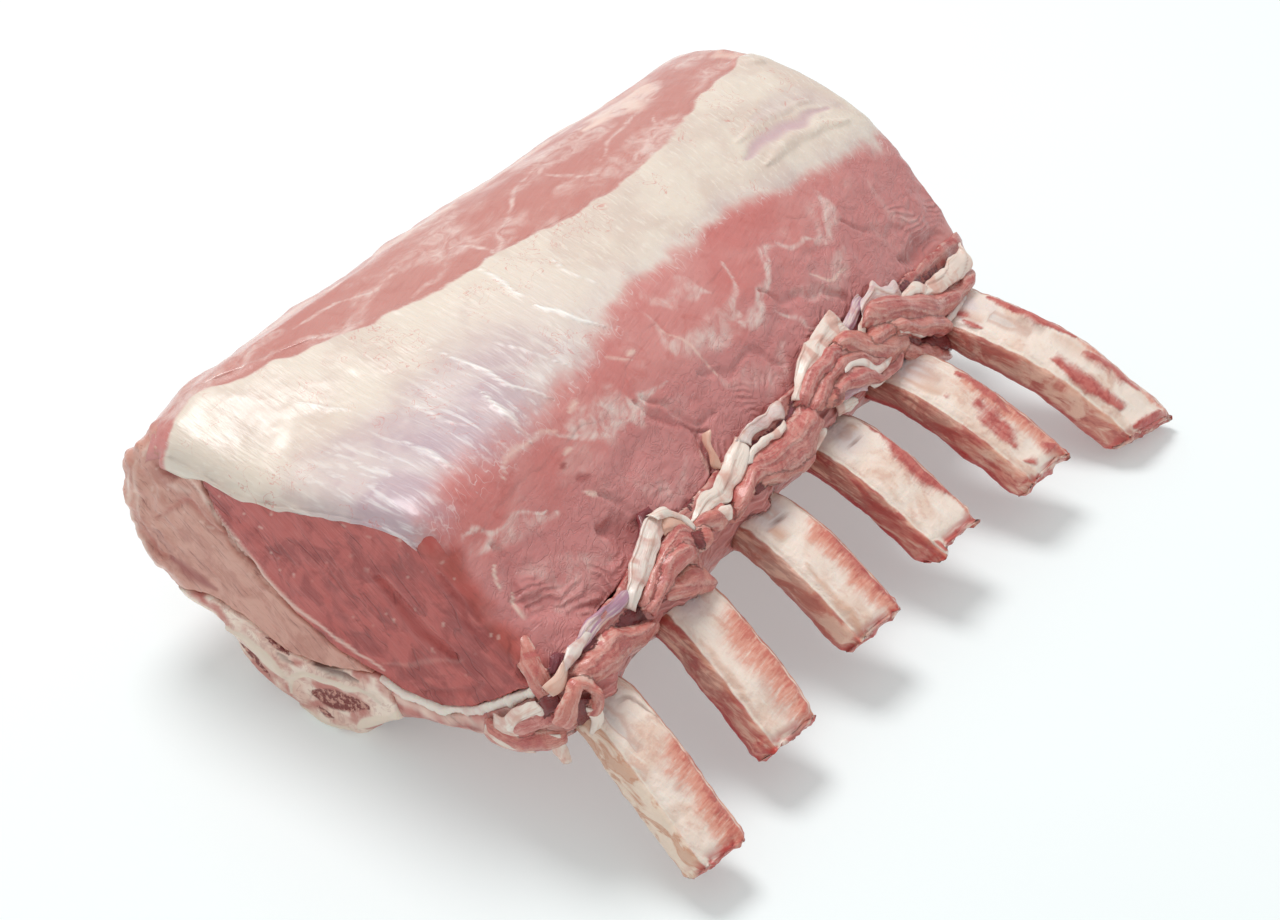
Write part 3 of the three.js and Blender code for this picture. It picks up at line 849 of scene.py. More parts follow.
def meat_masks(points, normals):
    """Every mask that the meat recipe reads."""
    cut = cut_share(points)
    near = cut * (points[:, 1] < 0)
    skin = 1 - cut
    flank = flank_share(points, normals) * skin
    left = ramp(points[:, 0], 5, -4) * ramp(points[:, 2], 40, 50) * skin
    ring, swirl = swirl_masks(points)
    back = ramp(normals[:, 0], -0.3, -0.7) * skin
    haze = strongest(
        on_flank(points, FLANK_HAZE, 2.0) * flank,
        on_top(points, LEFT_HAZE, 1.5) * left,
        0.62 * left * ramp(cloud(points, 12, 37, 3, (1, 2.2, 1)), -0.35, 0.5),
        0.35 * flank * ramp(cloud(points, 10, 38, 3, (1, 1.6, 1)), 0.15, 0.6),
        0.5 * back * ramp(cloud(points, 26, 39, 4, (1, 2.2, 1)), -0.3, 0.5),
    )
    blood_and_crease_shade = strongest(
        on_flank(points, FLANK_BLOOD_AND_SHADE) * flank,
        on_face(points, FACE_BLOOD_AND_SHADE) * near,
        0.4 * ramp(cloud(points, 7, 40, 2), 0.45, 0.8) * (cut - near),
    )
    apart = [np.linalg.norm(points[:, [0, 2]] - np.array(spot), axis=1) for spot in FLECKS]
    flecks = sum(bell(gap, 0, FLECK_SIZE) for gap in apart)
    flecks = flecks * near * ramp(noise(points, 1.3, 48), -0.4, 0.1)
    flecks += 0.45 * near * ramp(noise(points, 1.7, 47, (1, 9, 1)), 0.66, 0.78) * ramp(points[:, 2], 30, 45)
    pale = strongest(
        on_flank(points, FLANK_PALE) * flank,
        on_face(points, FACE_PALE) * near,
        on_top(points, LEFT_PALE, 3.0) * left * ramp(cloud(points, 8, 60, 3), -0.9, 0.1),
        0.75 * back * ramp(cloud(points, 24, 59, 4, (1, 1.8, 1)), 0.3, 0.5),
    )
    mauve = flank * ramp(points[:, 2] + 5 * cloud(points, 12, 49, 2), 66, 56)
    mauve = np.maximum(mauve, 0.6 * back)
    return {
        "cut": cut, "haze": haze, "blood_and_crease_shade": blood_and_crease_shade, "pale": np.clip(pale + flecks, 0, 1),
        "rust_and_crease_shade": on_face(points, FACE_RUST_AND_SHADE) * near, "mauve": mauve, "ring": ring, "swirl": swirl * flank,
        "tan": np.maximum(0.6 * left, 0.5 * back),
    }

# %% [markdown]
# Each muscle is a remeshed copy of its CAD node, laid against the smooth body. Its faces are cut
# finer on the flank, the left strip and the near cut face, which are seen from close by. Its far
# half swells a little first, so that it touches its neighbours and no gap shows between them.

# %% Laying a muscle on the body
MUSCLE_VOXEL = 1.3
MUSCLE_SWELL = 0.7


def muscle(name, node, finish, seen):
    """One muscle: an even mesh laid on the smooth body, finer where it is seen, with its relief."""
    bm = even(cad_copy(node), MUSCLE_VOXEL, rounds=4)
    refine(bm, seen)
    points = points_of(bm)
    points += normals_of(bm) * (MUSCLE_SWELL * ramp(points[:, 1], 0, 60))[:, None]
    points = laid_on_body(points, normals_of(bm))
    set_points(bm, points)
    bmesh.ops.smooth_vert(bm, verts=bm.verts, factor=0.5, use_axis_x=True, use_axis_y=True, use_axis_z=True)
    normals = normals_of(bm)
    points = points_of(bm)
    set_points(bm, points + normals * relief(points, normals)[:, None])
    return piece(name, bm, finish, [node], meat_masks(points, normals))


print("eye and inner muscle come next")

# %% [markdown]
# The eye is the darker muscle on the rib side and the inner one the paler muscle on the backbone
# side. Each has a test of its own for the faces that are cut finer.

# %% The eye and the inner muscle


def eye_seen(centres, normals):
    flank = (normals[:, 0] > 0.35) & (centres[:, 2] > 38) & (centres[:, 0] > 18)
    return flank | (centres[:, 1] < NEAR + 4)


def inner_seen(centres, normals):
    strip = (normals[:, 2] > 0.3) & (centres[:, 0] < 0) & (centres[:, 2] > 55)
    return strip | (centres[:, 1] < NEAR + 4)


muscle("eye_of_loin", "eye_muscle", lean_finish, eye_seen)
muscle("inner_loin", "inner_muscle", pale_finish, inner_seen)

# %% [markdown]
# ## The fat on top
#
# Over the crown of the loin lies a band of cream fat, with a thin silver skin on its outer half.
# Its inner edge is a clean step, and its outer edge thins out until the meat shows through. A grid
# laid on the body from above is the simplest shape for it: the grid sinks into the meat at both
# sides, so no edge is left standing in the air.

# %% Measures of the fat band


def slice_of(bm, axis, at):
    """The lowest and highest corner of a plane's cut through a mesh, in millimetres."""
    ends = np.array([[edge.verts[0].co, edge.verts[1].co] for edge in bm.edges]) / MM
    start, step = ends[:, 0], ends[:, 1] - ends[:, 0]
    share = (at - start[:, axis]) / np.where(np.abs(step[:, axis]) < 1e-6, 1e-6, step[:, axis])
    hits = (share >= 0) & (share <= 1)
    spots = start[hits] + step[hits] * share[hits][:, None]
    return spots.min(axis=0), spots.max(axis=0)


cover = cad_copy("fat_cover")
COVER_Y = np.linspace(NEAR + 1, FAR - 1, 42)
cover_slices = [slice_of(cover, 1, y) for y in COVER_Y]
cover.free()
INNER_EDGE = np.array([low[0] for low, high in cover_slices])
OUTER_EDGE = np.array([high[0] for low, high in cover_slices])
print(f"the band is {np.mean(OUTER_EDGE - INNER_EDGE):.0f} mm wide on average")

# %% [markdown]
# Each row of the grid runs across the loin, one small step further along it. The first and the last
# few rows go straight down, so that the band hangs over both cut faces.

# %% Lay the band on the body
INNER_MARGIN = 5.0
OUTER_MARGIN = 14.0
FAT_STEP = 0.7 * COARSE
FAT_WALL = 1.4


def fat_stations():
    """Places along the band as (y, drop): down the near face, over the top, down the far face."""
    rim = [0.15, 0.5, 1.0, 1.7, 2.6]
    inside = np.arange(NEAR + 3.4, FAR - 3.4, FAT_STEP)
    near = [(NEAR, drop) for drop in (1.0, 0.8, 0.6, 0.4, 0.2, 0.0)]
    far = [(FAR, drop) for drop in (0.0, 0.5, 1.0)]
    middle = [NEAR + y for y in rim] + list(inside) + [FAR - y for y in reversed(rim)]
    return near + [(y, 0.0) for y in middle] + far


def height_of_body(x, y):
    """Where a plumb line meets the smooth body, in millimetres."""
    spot = body_tree.ray_cast(Vector((x, y, 2 * TOP)) * MM, Vector((0, 0, -1)))[0]
    return spot.z / MM if spot else 60.0


def lay_fat():
    """The band's outer skin as a mesh, with each point's place and how far down an end it hangs."""
    stations = fat_stations()
    width = box("fat_cover")[1][0] - box("fat_cover")[0][0] + INNER_MARGIN + OUTER_MARGIN
    across = int(width * 0.85 / FAT_STEP)
    bm = bmesh.new()
    bmesh.ops.create_grid(bm, x_segments=across, y_segments=len(stations) - 1, size=0.5)
    unit = np.array([vert.co for vert in bm.verts])[:, :2] + 0.5
    rows = np.rint(unit[:, 1] * (len(stations) - 1)).astype(int)
    y = np.array([stations[row][0] for row in rows])
    drop = np.array([stations[row][1] for row in rows])
    inside_y = np.clip(y, NEAR + 0.15, FAR - 0.15)
    low = np.interp(inside_y, COVER_Y, INNER_EDGE) - INNER_MARGIN
    high = np.interp(inside_y, COVER_Y, OUTER_EDGE) + OUTER_MARGIN
    x = low + (high - low) * unit[:, 0]
    z = [height_of_body(x[n], inside_y[n]) for n in range(len(x))]
    return bm, np.stack([x, y, z], axis=1), drop


fat_bm, fat_points, fat_drop = lay_fat()
set_points(fat_bm, fat_points)
print("fat grid has", len(fat_points), "points")

# %% [markdown]
# The band's masks say where it lies over the meat, how silvery it is, and where bright stretched
# streaks cross it. Near the far end a window in the fat shows mauve meat, with a fold of fat along
# its edge. At the near inner corner the fat hangs over the cut face in a lip, and all along that
# face the meat's own marks are taken off the band (`bare`). Towards the near end the fat's inner
# edge draws in, but the sheet stays level beside it and wears the meat's colours, so that no groove
# opens between them.

# %% Shape and masks of the band
FAT_STREAKS = [
    (0.8, 0.8, [(-13, -24), (-4, -26), (4, -27)]),
    (1.1, 1.0, [(6, -28), (14, -27), (21, -24)]),
    (0.7, 0.8, [(-5, -53), (9, -54), (20, -55), (25, -52)]),
    (0.9, 1.0, [(15, -61), (23, -64), (30, -65)]),
    (0.6, 0.5, [(-20, -80), (-13, -79), (-6, -77)]),
    (0.5, 0.5, [(4, -70), (12, -72), (20, -72)]),
    (0.5, 0.5, [(6, -44), (14, -44), (22, -41)]),
    (0.6, 0.6, [(8, -82), (17, -83), (26, -84)]),
    (0.5, 0.5, [(-2, -90), (8, -92), (16, -93)]),
    (0.5, 0.5, [(-2, -12), (6, -14), (13, -12)]),
]
WINDOW = [
    (3.2, 1.0, [(10, 55), (10, 70), (13, 92)]),
    (6.0, 0.45, [(4, 70), (5, 88), (14, 96)]),
]
WINDOW_FOLD = [(2.4, 1.0, [(15, 57), (14, 74), (18, 92)]), (2.2, 0.6, [(6, 58), (5, 74), (8, 90)])]
FAR_KNOB = [(4.5, 1.0, [(-22, 83), (-16, 92), (-9, 95)])]
NEAR_TUCK = 2.8
CORNER_TUCK = 1.2


def near_tuck(y):
    """How far the fat's inner edge draws in towards the near end."""
    return NEAR_TUCK * ramp(y, -42, -62) + CORNER_TUCK * ramp(y, NEAR + 7, NEAR + 2)


def band_edges(points):
    """How far inside the inner and the outer edge of the fat each point lies, with uneven edges."""
    y = np.clip(points[:, 1], NEAR + 1, FAR - 1)
    inner = points[:, 0] - np.interp(y, COVER_Y, INNER_EDGE) + 1.8 * cloud(points, 11, 41, 3)
    inner -= near_tuck(y)
    outer = np.interp(y, COVER_Y, OUTER_EDGE) - points[:, 0]
    slanted = points @ np.array([[1, 0.15, 0], [-0.15, 1, 0], [0, 0, 1]])
    outer += 2.6 * cloud(points, 14, 42, 2) + 0.7 * cloud(slanted, 6, 50, 2, (2.5, 1, 2.5))
    return inner, outer


def band_masks(points):
    """The masks of the fat alone: band, silver, streak and window."""
    inner, outer = band_edges(points)
    along = (points[:, 1] - NEAR) / (FAR - NEAR)
    fade = 7 * ramp(along, 0.5, 0.1) + 5
    thick = ramp(outer, -fade * 0.85, fade * 0.6)
    silver = strongest(
        ramp(points[:, 0] + 6 * cloud(points, 20, 44, 2), -14, 14) * ramp(along, 0.5, 0.12),
        0.75 * ramp(along, 0.62, 0.2) * ramp(outer, 13, 4),
        0.3 * ramp(outer, 7, 1),
        0.6 * on_top(points, WINDOW[1:]),
    )
    return {
        "band": ramp(inner, -0.5, 1.2) * thick,
        "silver": silver,
        "streak": on_top(points, FAT_STREAKS, 1.2),
        "window": on_top(points, WINDOW[:1], 1.5) * (1 - on_top(points, WINDOW_FOLD[:1])),
    }


def shape_band(bm, points, drop):
    """Lifts the band off the meat, sinks its sides into it and hangs its lip over the near face."""
    normals = normals_of(bm)
    normals *= np.sign(normals[:, 2:3] + 1e-9)
    inner, outer = band_edges(points)
    sheet_edge = inner + near_tuck(points[:, 1])
    lift = 0.5 * ramp(inner, -1.2, 1.0) * ramp(outer, -12, 3)
    lift -= 1.3 * (1 - ramp(sheet_edge, -3.2, -0.8)) + 1.8 * (1 - ramp(outer, -12.5, -9))
    lift -= 1.6 * ramp(points[:, 1], NEAR + 3, NEAR) * ramp(outer, 1, -4)
    lift += 0.22 * cloud(points, 10, 45, 3) + 0.05 * cloud(points, 2.5, 46, 2)
    streaks, fold = on_top(points, FAT_STREAKS, 1.2), on_top(points, WINDOW_FOLD)
    lift += 0.3 * streaks + 0.7 * fold - 0.4 * on_top(points, WINDOW)
    lift += 1.2 * on_top(points, FAR_KNOB)
    shaped = points + normals * (relief(points, normals) + lift)[:, None]
    covered = ramp(inner, -2.4, -0.6) * ramp(outer, -3, 1)
    lip = 0.9 + 3.2 * bell(points[:, 0], -36, 6) + 0.6 * noise(points, 5, 47)
    near = (points[:, 1] <= NEAR) * 1.0
    far = (points[:, 1] >= FAR) * 1.0
    shaped[:, 1] = np.where(near > 0, NEAR - 0.35 + 1.6 * (1 - covered), shaped[:, 1])
    shaped[:, 1] = np.where(far > 0, FAR + 0.25 - 1.6 * (1 - covered), shaped[:, 1])
    shaped[:, 2] -= (near + far) * (drop * lip * covered + 1.5 * (1 - covered) * (0.3 + drop))
    shaped[:, 1] -= near * 0.25 * np.sin(np.pi * drop)
    return shaped


fat_masks = {**meat_masks(fat_points, normals_of(fat_bm)), **band_masks(fat_points)}
set_points(fat_bm, shape_band(fat_bm, fat_points, fat_drop))
bare = np.maximum(ramp(fat_points[:, 1], NEAR + 3, NEAR + 6), ramp(band_edges(fat_points)[1], -2, -5))
for name in ("cut", "rust_and_crease_shade", "blood_and_crease_shade", "pale"):
    fat_masks[name] = fat_masks[name] * bare
print("silver covers", round(float(fat_masks["silver"].mean()), 2), "of the band")

# %% [markdown]
# The finish of the band starts from the meat's own colours, so that the two meet without a line,
# and lays cream fat and then silver skin over them.

# %% Fat finish


def fat_finish(name):
    """Cream fat and silver skin over the colours of the meat."""
    finish = Finish(
        name,
        Roughness=0.4,
        Subsurface_Weight=0.15,
        Subsurface_Radius=(1.0, 0.7, 0.5),
        Subsurface_Scale=2.0 * MM,
        Coat_Weight=0.3,
        Coat_Roughness=0.2,
    )
    lean, height = meat_colours(finish)
    band, silver, streak = finish.mask("band"), finish.mask("silver"), finish.mask("streak")
    broad = finish.noise(18.0, detail=3.0, seed=11.0, warp=0.5)
    slant = finish.noise(1.7, stretch=(9, 1, 1), turn=(0, 0, -8), detail=3.0, rough=0.6, seed=12.0, warp=0.3)
    fine = finish.noise(0.9, stretch=(7, 1, 1), turn=(0, 0, -14), detail=3.0, rough=0.6, seed=13.0)
    vein = finish.noise(7.0, detail=3.0, rough=0.55, seed=14.0, warp=1.5)
    cream = finish.coats(
        tone(226, 212, 197),
        (tone(216, 198, 184), broad.span(0.42, 0.62)),
        (tone(236, 225, 212), fine.span(0.52, 0.7) * 0.6),
    )
    pearl = finish.coats(
        tone(209, 192, 190),
        (tone(190, 166, 172), broad.span(0.4, 0.6)),
        (tone(230, 222, 220), slant.span(0.5, 0.68) * 0.7),
    )
    fat = finish.coats(
        cream,
        (pearl, silver),
        (tone(214, 186, 184), slant.span(0.46, 0.3) * 0.35 * (silver * 0.7 + 0.15)),
    )
    thread = (vein - 0.5).absolute().span(0.01, 0.003) * finish.noise(16.0, seed=15.0).span(0.5, 0.6)
    fat = finish.coats(
        fat,
        (tone(205, 108, 98), thread * 0.5),
        (tone(242, 237, 231), streak),
        (tone(204, 172, 176), finish.mask("window") * (broad * 0.7 + 0.45)),
    )
    ragged = (slant - 0.5) * 2.2 + (broad - 0.5) * 3.0
    cover_amount = (band + ragged * (1 - band) * band).span(0.04, 0.98)
    colour = finish.mix(lean, fat, cover_amount)
    drawn = finish.noise(2.4, stretch=(12, 1, 1), turn=(0, 0, -12), detail=1.0, seed=16.0)
    stretched = (drawn - 0.5).absolute().span(0.02, 0.0) * band.span(0.02, 0.3) * (1 - cover_amount)
    colour = finish.mix(colour, tone(232, 212, 208), stretched * 0.6)
    relief_height = slant * 0.7 + fine * 0.4 + height * (1 - cover_amount) + streak * 0.8
    finish.wear(Base_Color=colour, Roughness=0.46 - fine * 0.16, Normal=finish.bump(relief_height, 0.3))
    return finish


cover_finish = fat_finish("cover fat")

# %% [markdown]
# The grid's faces are turned to look up, and a Solidify modifier thickens the band downwards.

# %% Finish the band
bmesh.ops.recalc_face_normals(fat_bm, faces=fat_bm.faces)
if sum(face.normal.z for face in fat_bm.faces) < 0:
    bmesh.ops.reverse_faces(fat_bm, faces=fat_bm.faces)
fat_band = piece("fat_band", fat_bm, cover_finish, ["fat_cover"], fat_masks)
fat_wall = fat_band.modifiers.new("wall", "SOLIDIFY")
fat_wall.thickness = FAT_WALL * MM
fat_wall.offset = -1.0

# %% [markdown]
# ## Seam fat, rib meat and backbone
#
# Under the eye runs a thin layer of white fat, then the meat between the ribs, then the backbone.
# They are remeshed copies too. The seam stands out a little at the near face, because fat is firmer
# than meat and doesn't sink when it is cut. The outer side of the rib meat is wrinkled and grooved.

# %% Seam fat and rib meat
seam_finish = Finish(
    "seam fat", Roughness=0.4, Coat_Weight=0.25, Subsurface_Weight=0.15, Subsurface_Scale=2 * MM
)
seam_cloud = seam_finish.noise(6.0, detail=4.0, warp=0.6)
seam_line = seam_finish.noise(1.2, stretch=(1, 6, 1), detail=3.0, seed=2.0)
seam_colour = seam_finish.coats(
    tone(240, 226, 214),
    (tone(224, 196, 186), seam_cloud.span(0.45, 0.7)),
    (tone(176, 92, 88), seam_finish.mask("meat")),
)
seam_finish.wear(Base_Color=seam_colour, Normal=seam_finish.bump(seam_line + seam_cloud, 0.3))

seam = even(cad_copy("seam_fat"), voxel=0.75, rounds=2)
seam_points = laid_on_body(points_of(seam), normals_of(seam))
at_face = ramp(seam_points[:, 1], NEAR + 2.5, NEAR + 0.5)
seam_points += normals_of(seam) * (0.55 * cloud(seam_points, 4, 51, 3) + 0.5 * at_face)[:, None]
set_points(seam, seam_points)
seam_masks = {"meat": ramp(seam_points[:, 0], 44, 48) * (1 - cut_share(seam_points))}
piece("seam_fat_layer", seam, seam_finish, ["seam_fat"], seam_masks)

rib_meat_finish = meat_finish("rib meat")
layer = even(cad_copy("rib_layer"), voxel=0.9, rounds=3)
layer_points = laid_on_body(points_of(layer), normals_of(layer))
layer_normals = normals_of(layer)
outward = facing(layer_normals, (0.7, 0, 0.7), 0.0, 0.5) * ramp(layer_points[:, 0], 44, 52)
layer_points += layer_normals * (0.5 * cloud(layer_points, 8, 52, 3))[:, None]
layer_points -= layer_normals * (0.7 * outward * ridge(layer_points, 5, 56, (1, 2.4, 1)))[:, None]
set_points(layer, layer_points)
layer_masks = meat_masks(layer_points, layer_normals)
LAYER_PALE = [
    (2.4, 0.9, [(15, 19), (28, 20), (39, 23), (52, 29)]),
    (1.3, 0.8, [(30, 17), (44, 21), (56, 27)]),
]
LAYER_BLOOD = [(1.4, 0.7, [(36, 21), (46, 25), (57, 30)]), (1.2, 0.5, [(20, 22), (30, 23)])]
layer_face = layer_masks["cut"] * (layer_points[:, 1] < 0)
layer_white = 0.3 + 0.5 * on_face(layer_points, LAYER_PALE) + 0.4 * cloud(layer_points, 4, 57, 2)
layer_masks["pale"] = strongest(layer_masks["pale"], layer_white * layer_face).clip(0, 1)
layer_masks["blood_and_crease_shade"] = strongest(layer_masks["blood_and_crease_shade"], on_face(layer_points, LAYER_BLOOD) * layer_face)
# The outer side of the rib meat gets the same wrinkles, with their painted shade and highlight.
layer_rings = 1.4 * layer_points[:, 2] + 1.5 * cloud(layer_points, 5, 58, 2)
layer_masks["ring"] = np.where(outward > 0.3, layer_rings, layer_masks["ring"])
layer_masks["swirl"] = np.maximum(layer_masks["swirl"], outward)
layer_masks["haze"] = np.maximum(
    layer_masks["haze"], facing(layer_normals, (0, 0, -1)) * ramp(cloud(layer_points, 14, 53, 2), -0.5, 0.5)
)
piece("rib_meat_layer", layer, rib_meat_finish, ["rib_layer"], layer_masks)

# %% [markdown]
# The backbone was sawn through, so its near end shows hard pale bone, dark red marrow, deep hollows
# whose dark brown is painted shade, and some flesh, each placed by strokes as (x, z). Its flat foot
# rests on the table and shows one band of marrow for each vertebra.

# %% Backbone
bone_finish = Finish(
    "backbone", Roughness=0.5, Coat_Weight=0.2, Subsurface_Weight=0.1, Subsurface_Scale=2 * MM
)
bone_cloud = bone_finish.noise(7.0, detail=4.0, warp=0.5)
bone_fine = bone_finish.noise(1.1, detail=4.0, rough=0.65, seed=3.0)
marrow_holes = bone_finish.noise(1.5, detail=3.0, rough=0.7, seed=4.0)
red_lines = bone_finish.noise(4.0, detail=3.0, seed=5.0, warp=1.0)
bone_colour = bone_finish.coats(
    tone(246, 226, 210),
    (tone(232, 196, 180), bone_cloud.span(0.42, 0.65)),
    (tone(170, 92, 84), (red_lines - 0.5).absolute().span(0.04, 0.01) * 0.25),
)
marrow = bone_finish.mix(tone(126, 46, 40), tone(206, 150, 134), marrow_holes.span(0.46, 0.6))
bone_colour = bone_finish.coats(
    bone_colour,
    (tone(190, 100, 90), bone_finish.mask("flesh") * bone_cloud.span(0.1, 0.5)),
    (tone(236, 218, 200), bone_finish.mask("bone").span(0.25, 0.6)),
    (marrow, bone_finish.mask("marrow").span(0.25, 0.6)),
    # Painted shade: the hollows of the sawn end are painted dark brown.
    (tone(104, 64, 56), bone_finish.mask("hollow")),
)
bone_relief = bone_fine * 0.5 + marrow_holes * bone_finish.mask("marrow") * 1.5
bone_finish.wear(Base_Color=bone_colour, Normal=bone_finish.bump(bone_relief, 0.4))

NEAR_MARROW = [
    (4.0, 1.0, [(-5, 8), (3, 10), (10, 12)]),
    (2.4, 0.7, [(-4, 5), (0, 4)]),
    (2.4, 0.9, [(-17, 19), (-11, 17)]),
    (1.8, 0.8, [(-26, 12), (-21, 10), (-17, 8)]),
]
NEAR_BONE = [
    (2.8, 1.0, [(-28, 17), (-22, 15), (-16, 12), (-12, 10)]),
    (1.5, 1.0, [(-11, 5), (-10, 11), (-5, 14), (3, 15), (10, 17), (15, 16)]),
    (2.6, 0.9, [(7, 5), (14, 10), (20, 16)]),
    (1.6, 0.8, [(-10, 2), (-3, 1), (6, 3)]),
]
NEAR_SHADED_HOLLOWS = [(2.0, 0.9, [(-4, 18), (1, 18), (8, 19)]), (1.3, 0.6, [(-14, 15), (-10, 15)])]
NEAR_FLESH = [
    (3.6, 1.0, [(-44, 26), (-38, 24), (-32, 21)]),
    (1.8, 0.9, [(-13, 8), (-11, 3)]),
    (1.6, 0.8, [(-22, 7), (-15, 4)]),
    (1.6, 0.8, [(-10, 15), (-7, 17)]),
]
SPINE_SWELL = 0.5
spine = even(cad_copy("backbone"), voxel=0.8, rounds=2)
spine_points = points_of(spine)
spine_points += normals_of(spine) * (SPINE_SWELL * ramp(spine_points[:, 1], 0, 60))[:, None]
spine_points = laid_on_body(spine_points, normals_of(spine))
spine_normals = normals_of(spine)
spine_cut = ramp(spine_points[:, 1], NEAR + 6, NEAR + 2)
near_bone, near_marrow, near_shaded_hollow, near_flesh = (
    on_face(spine_points, marks) * spine_cut for marks in (NEAR_BONE, NEAR_MARROW, NEAR_SHADED_HOLLOWS, NEAR_FLESH)
)
spine_lift = 0.5 * cloud(spine_points, 9, 54, 3) + 0.9 * near_bone - 0.8 * near_shaded_hollow - 0.5 * near_marrow
spine_points += spine_normals * spine_lift[:, None]
spine_points[:, 1] = np.maximum(spine_points[:, 1], NEAR - 1.5)
spine_points[:, 2] = np.maximum(spine_points[:, 2], 0.0)
set_points(spine, spine_points)
vertebra = np.cos(2 * np.pi * (spine_points[:, 1] - FIRST_RIB) / PITCH)
under = facing(spine_normals, (0, 0, -1))
chine_masks = {
    "marrow": np.maximum(near_marrow * (1 - 0.8 * near_bone), under * ramp(vertebra, -0.2, 0.4) * 0.9),
    "bone": near_bone,
    "hollow": near_shaded_hollow,
    "flesh": np.maximum(0.8 * ramp(cloud(spine_points, 7, 55, 3), -0.1, 0.4), near_flesh) * (1 - near_bone),
}
piece("chine", spine, bone_finish, ["backbone"], chine_masks)

# %% [markdown]
# ## The ribs
#
# A rib is a flat, gently bent bar with a nearly square edge, so each one starts as a plain rod. The
# rod is a unit cylinder cut into many rings, and every point of it knows how far along and how far
# round it lies. That makes both the shape and the paint simple to write.

# %% A rod of many rings


def rod(sides, rings, cap_rings=4):
    """A closed rod of unit radius from z = 0 to z = 1, with even rings and ringed end faces."""
    bm = bmesh.new()
    bmesh.ops.create_cone(bm, cap_ends=True, segments=sides, radius1=1, radius2=1, depth=1)
    bmesh.ops.translate(bm, vec=(0, 0, 0.5), verts=bm.verts)
    upright = [edge for edge in bm.edges if abs(edge.verts[0].co.z - edge.verts[1].co.z) > 0.5]
    bmesh.ops.subdivide_edges(bm, edges=upright, cuts=rings - 1)
    for cap in [face for face in bm.faces if len(face.verts) == sides]:
        for _ in range(cap_rings):
            bmesh.ops.inset_individual(bm, faces=[cap], thickness=1 / (cap_rings + 1))
        bmesh.ops.poke(bm, faces=[cap])
    return bm


def rod_places(bm):
    """Each point's place along the rod, its angle round it and its distance from the middle line."""
    unit = np.array([vert.co for vert in bm.verts])
    radius = np.hypot(unit[:, 0], unit[:, 1])
    return unit[:, 2], np.arctan2(unit[:, 1], unit[:, 0]), np.clip(radius, 0, 1)


test_rod = rod(12, 6)
print("a rod of 12 sides and 6 rings has", len(test_rod.faces), "faces")
test_rod.free()

# %% [markdown]
# Upright planes cut each CAD rib every few millimetres along X. The middles of the cuts give the
# line that the rod follows, and their sizes give its width and thickness.

# %% Middle lines of the ribs, measured on the CAD


def rib_line(node, step=3.0):
    """A rib's middle line, half width and half thickness at even places along X, and its tip's slant."""
    bm = cad_copy(node)
    low, high = box(node)
    xs = np.arange(low[0] + 2, high[0] - 9, step)
    cuts = [slice_of(bm, 0, x) for x in xs]
    corners = points_of(bm)
    bm.free()
    middle = np.array([(a + b) / 2 for a, b in cuts])
    middle[:, 0] = xs
    size = np.array([(b - a) / 2 for a, b in cuts])
    ahead = middle[-1] - middle[-3]
    ahead /= np.linalg.norm(ahead)
    reach = (corners - middle[-1]) @ ahead
    far_side = corners[:, 1] > middle[-1, 1]
    tips = reach[~far_side].max(), reach[far_side].max()
    slope = np.gradient(middle[:, 2], xs)
    thick = size[:, 2] * np.cos(np.arctan(slope))
    wide = size[:, 1]
    end = middle[-1] + ahead * (tips[0] + tips[1]) / 2
    line = np.vstack([middle, end])
    return line, np.append(wide, wide[-1]), np.append(thick, thick[-1]), tips


rib_lines = [rib_line(node) for node in RIBS]
for node, (line, wide, thick, tips) in zip(RIBS, rib_lines):
    print(f"{node}: {len(line)} stations, {2 * wide[-2]:.1f} wide, {2 * thick[-2]:.1f} thick, tips {tips}")

# %% [markdown]
# The section of a rib is nearly a rectangle: its top is a little crowned, and the edges between
# top and sides are crisp. The tip is a rough saw cut. What clings to each rib is different, so the
# strokes are listed rib by rib, as (distance out from the loin, place across), both in millimetres.

# %% Shape of a rib
RIB_SIDES, RIB_RINGS = 72, 190
RIB_BOXY = 0.36
LOIN_EDGE = 60.0
RIB_RED = [
    [(4.6, 0.45, [(29, 5), (35, 5)]), (1.6, 0.9, [(38, -3), (38, 1)]), (1.8, 0.8, [(34, -7), (38, -7)])],
    [(3.0, 0.5, [(10, 9), (18, 9), (30, 9)]), (1.8, 1.0, [(34, -7), (36, -3)]),
     (1.2, 0.7, [(36, 2), (34, 8)])],
    [(4.8, 0.8, [(14, 8), (22, 8), (33, 7)]), (1.2, 0.4, [(33, -6), (34, 2)])],
    [(4.6, 1.0, [(8, 8), (15, 7), (22, 6), (31, 9)]), (2.6, 1.0, [(32, -8), (35, -7)]),
     (1.4, 0.6, [(34, -1), (35, 5)])],
    [(5.2, 1.0, [(20, -1), (27, -2), (33, -2)]), (3.6, 1.0, [(12, 6), (19, 6), (26, 5)]),
     (2.0, 0.6, [(13, -4), (15, -3)]), (2.4, 1.0, [(37, 3), (38, 6)]), (1.8, 0.8, [(36, -6), (38, -2)])],
    [(5.0, 1.0, [(26, -6), (34, -6), (43, -5)]), (4.0, 1.0, [(3, 7), (14, 8), (25, 8)]),
     (3.2, 0.9, [(30, 5), (36, 6), (43, 6)]), (2.4, 0.9, [(48, -7), (50, 0), (50, 6)]),
     (4.0, 0.8, [(-2, -4), (3, -3)]), (2.6, 0.8, [(3, -6), (7, -7)])],
]
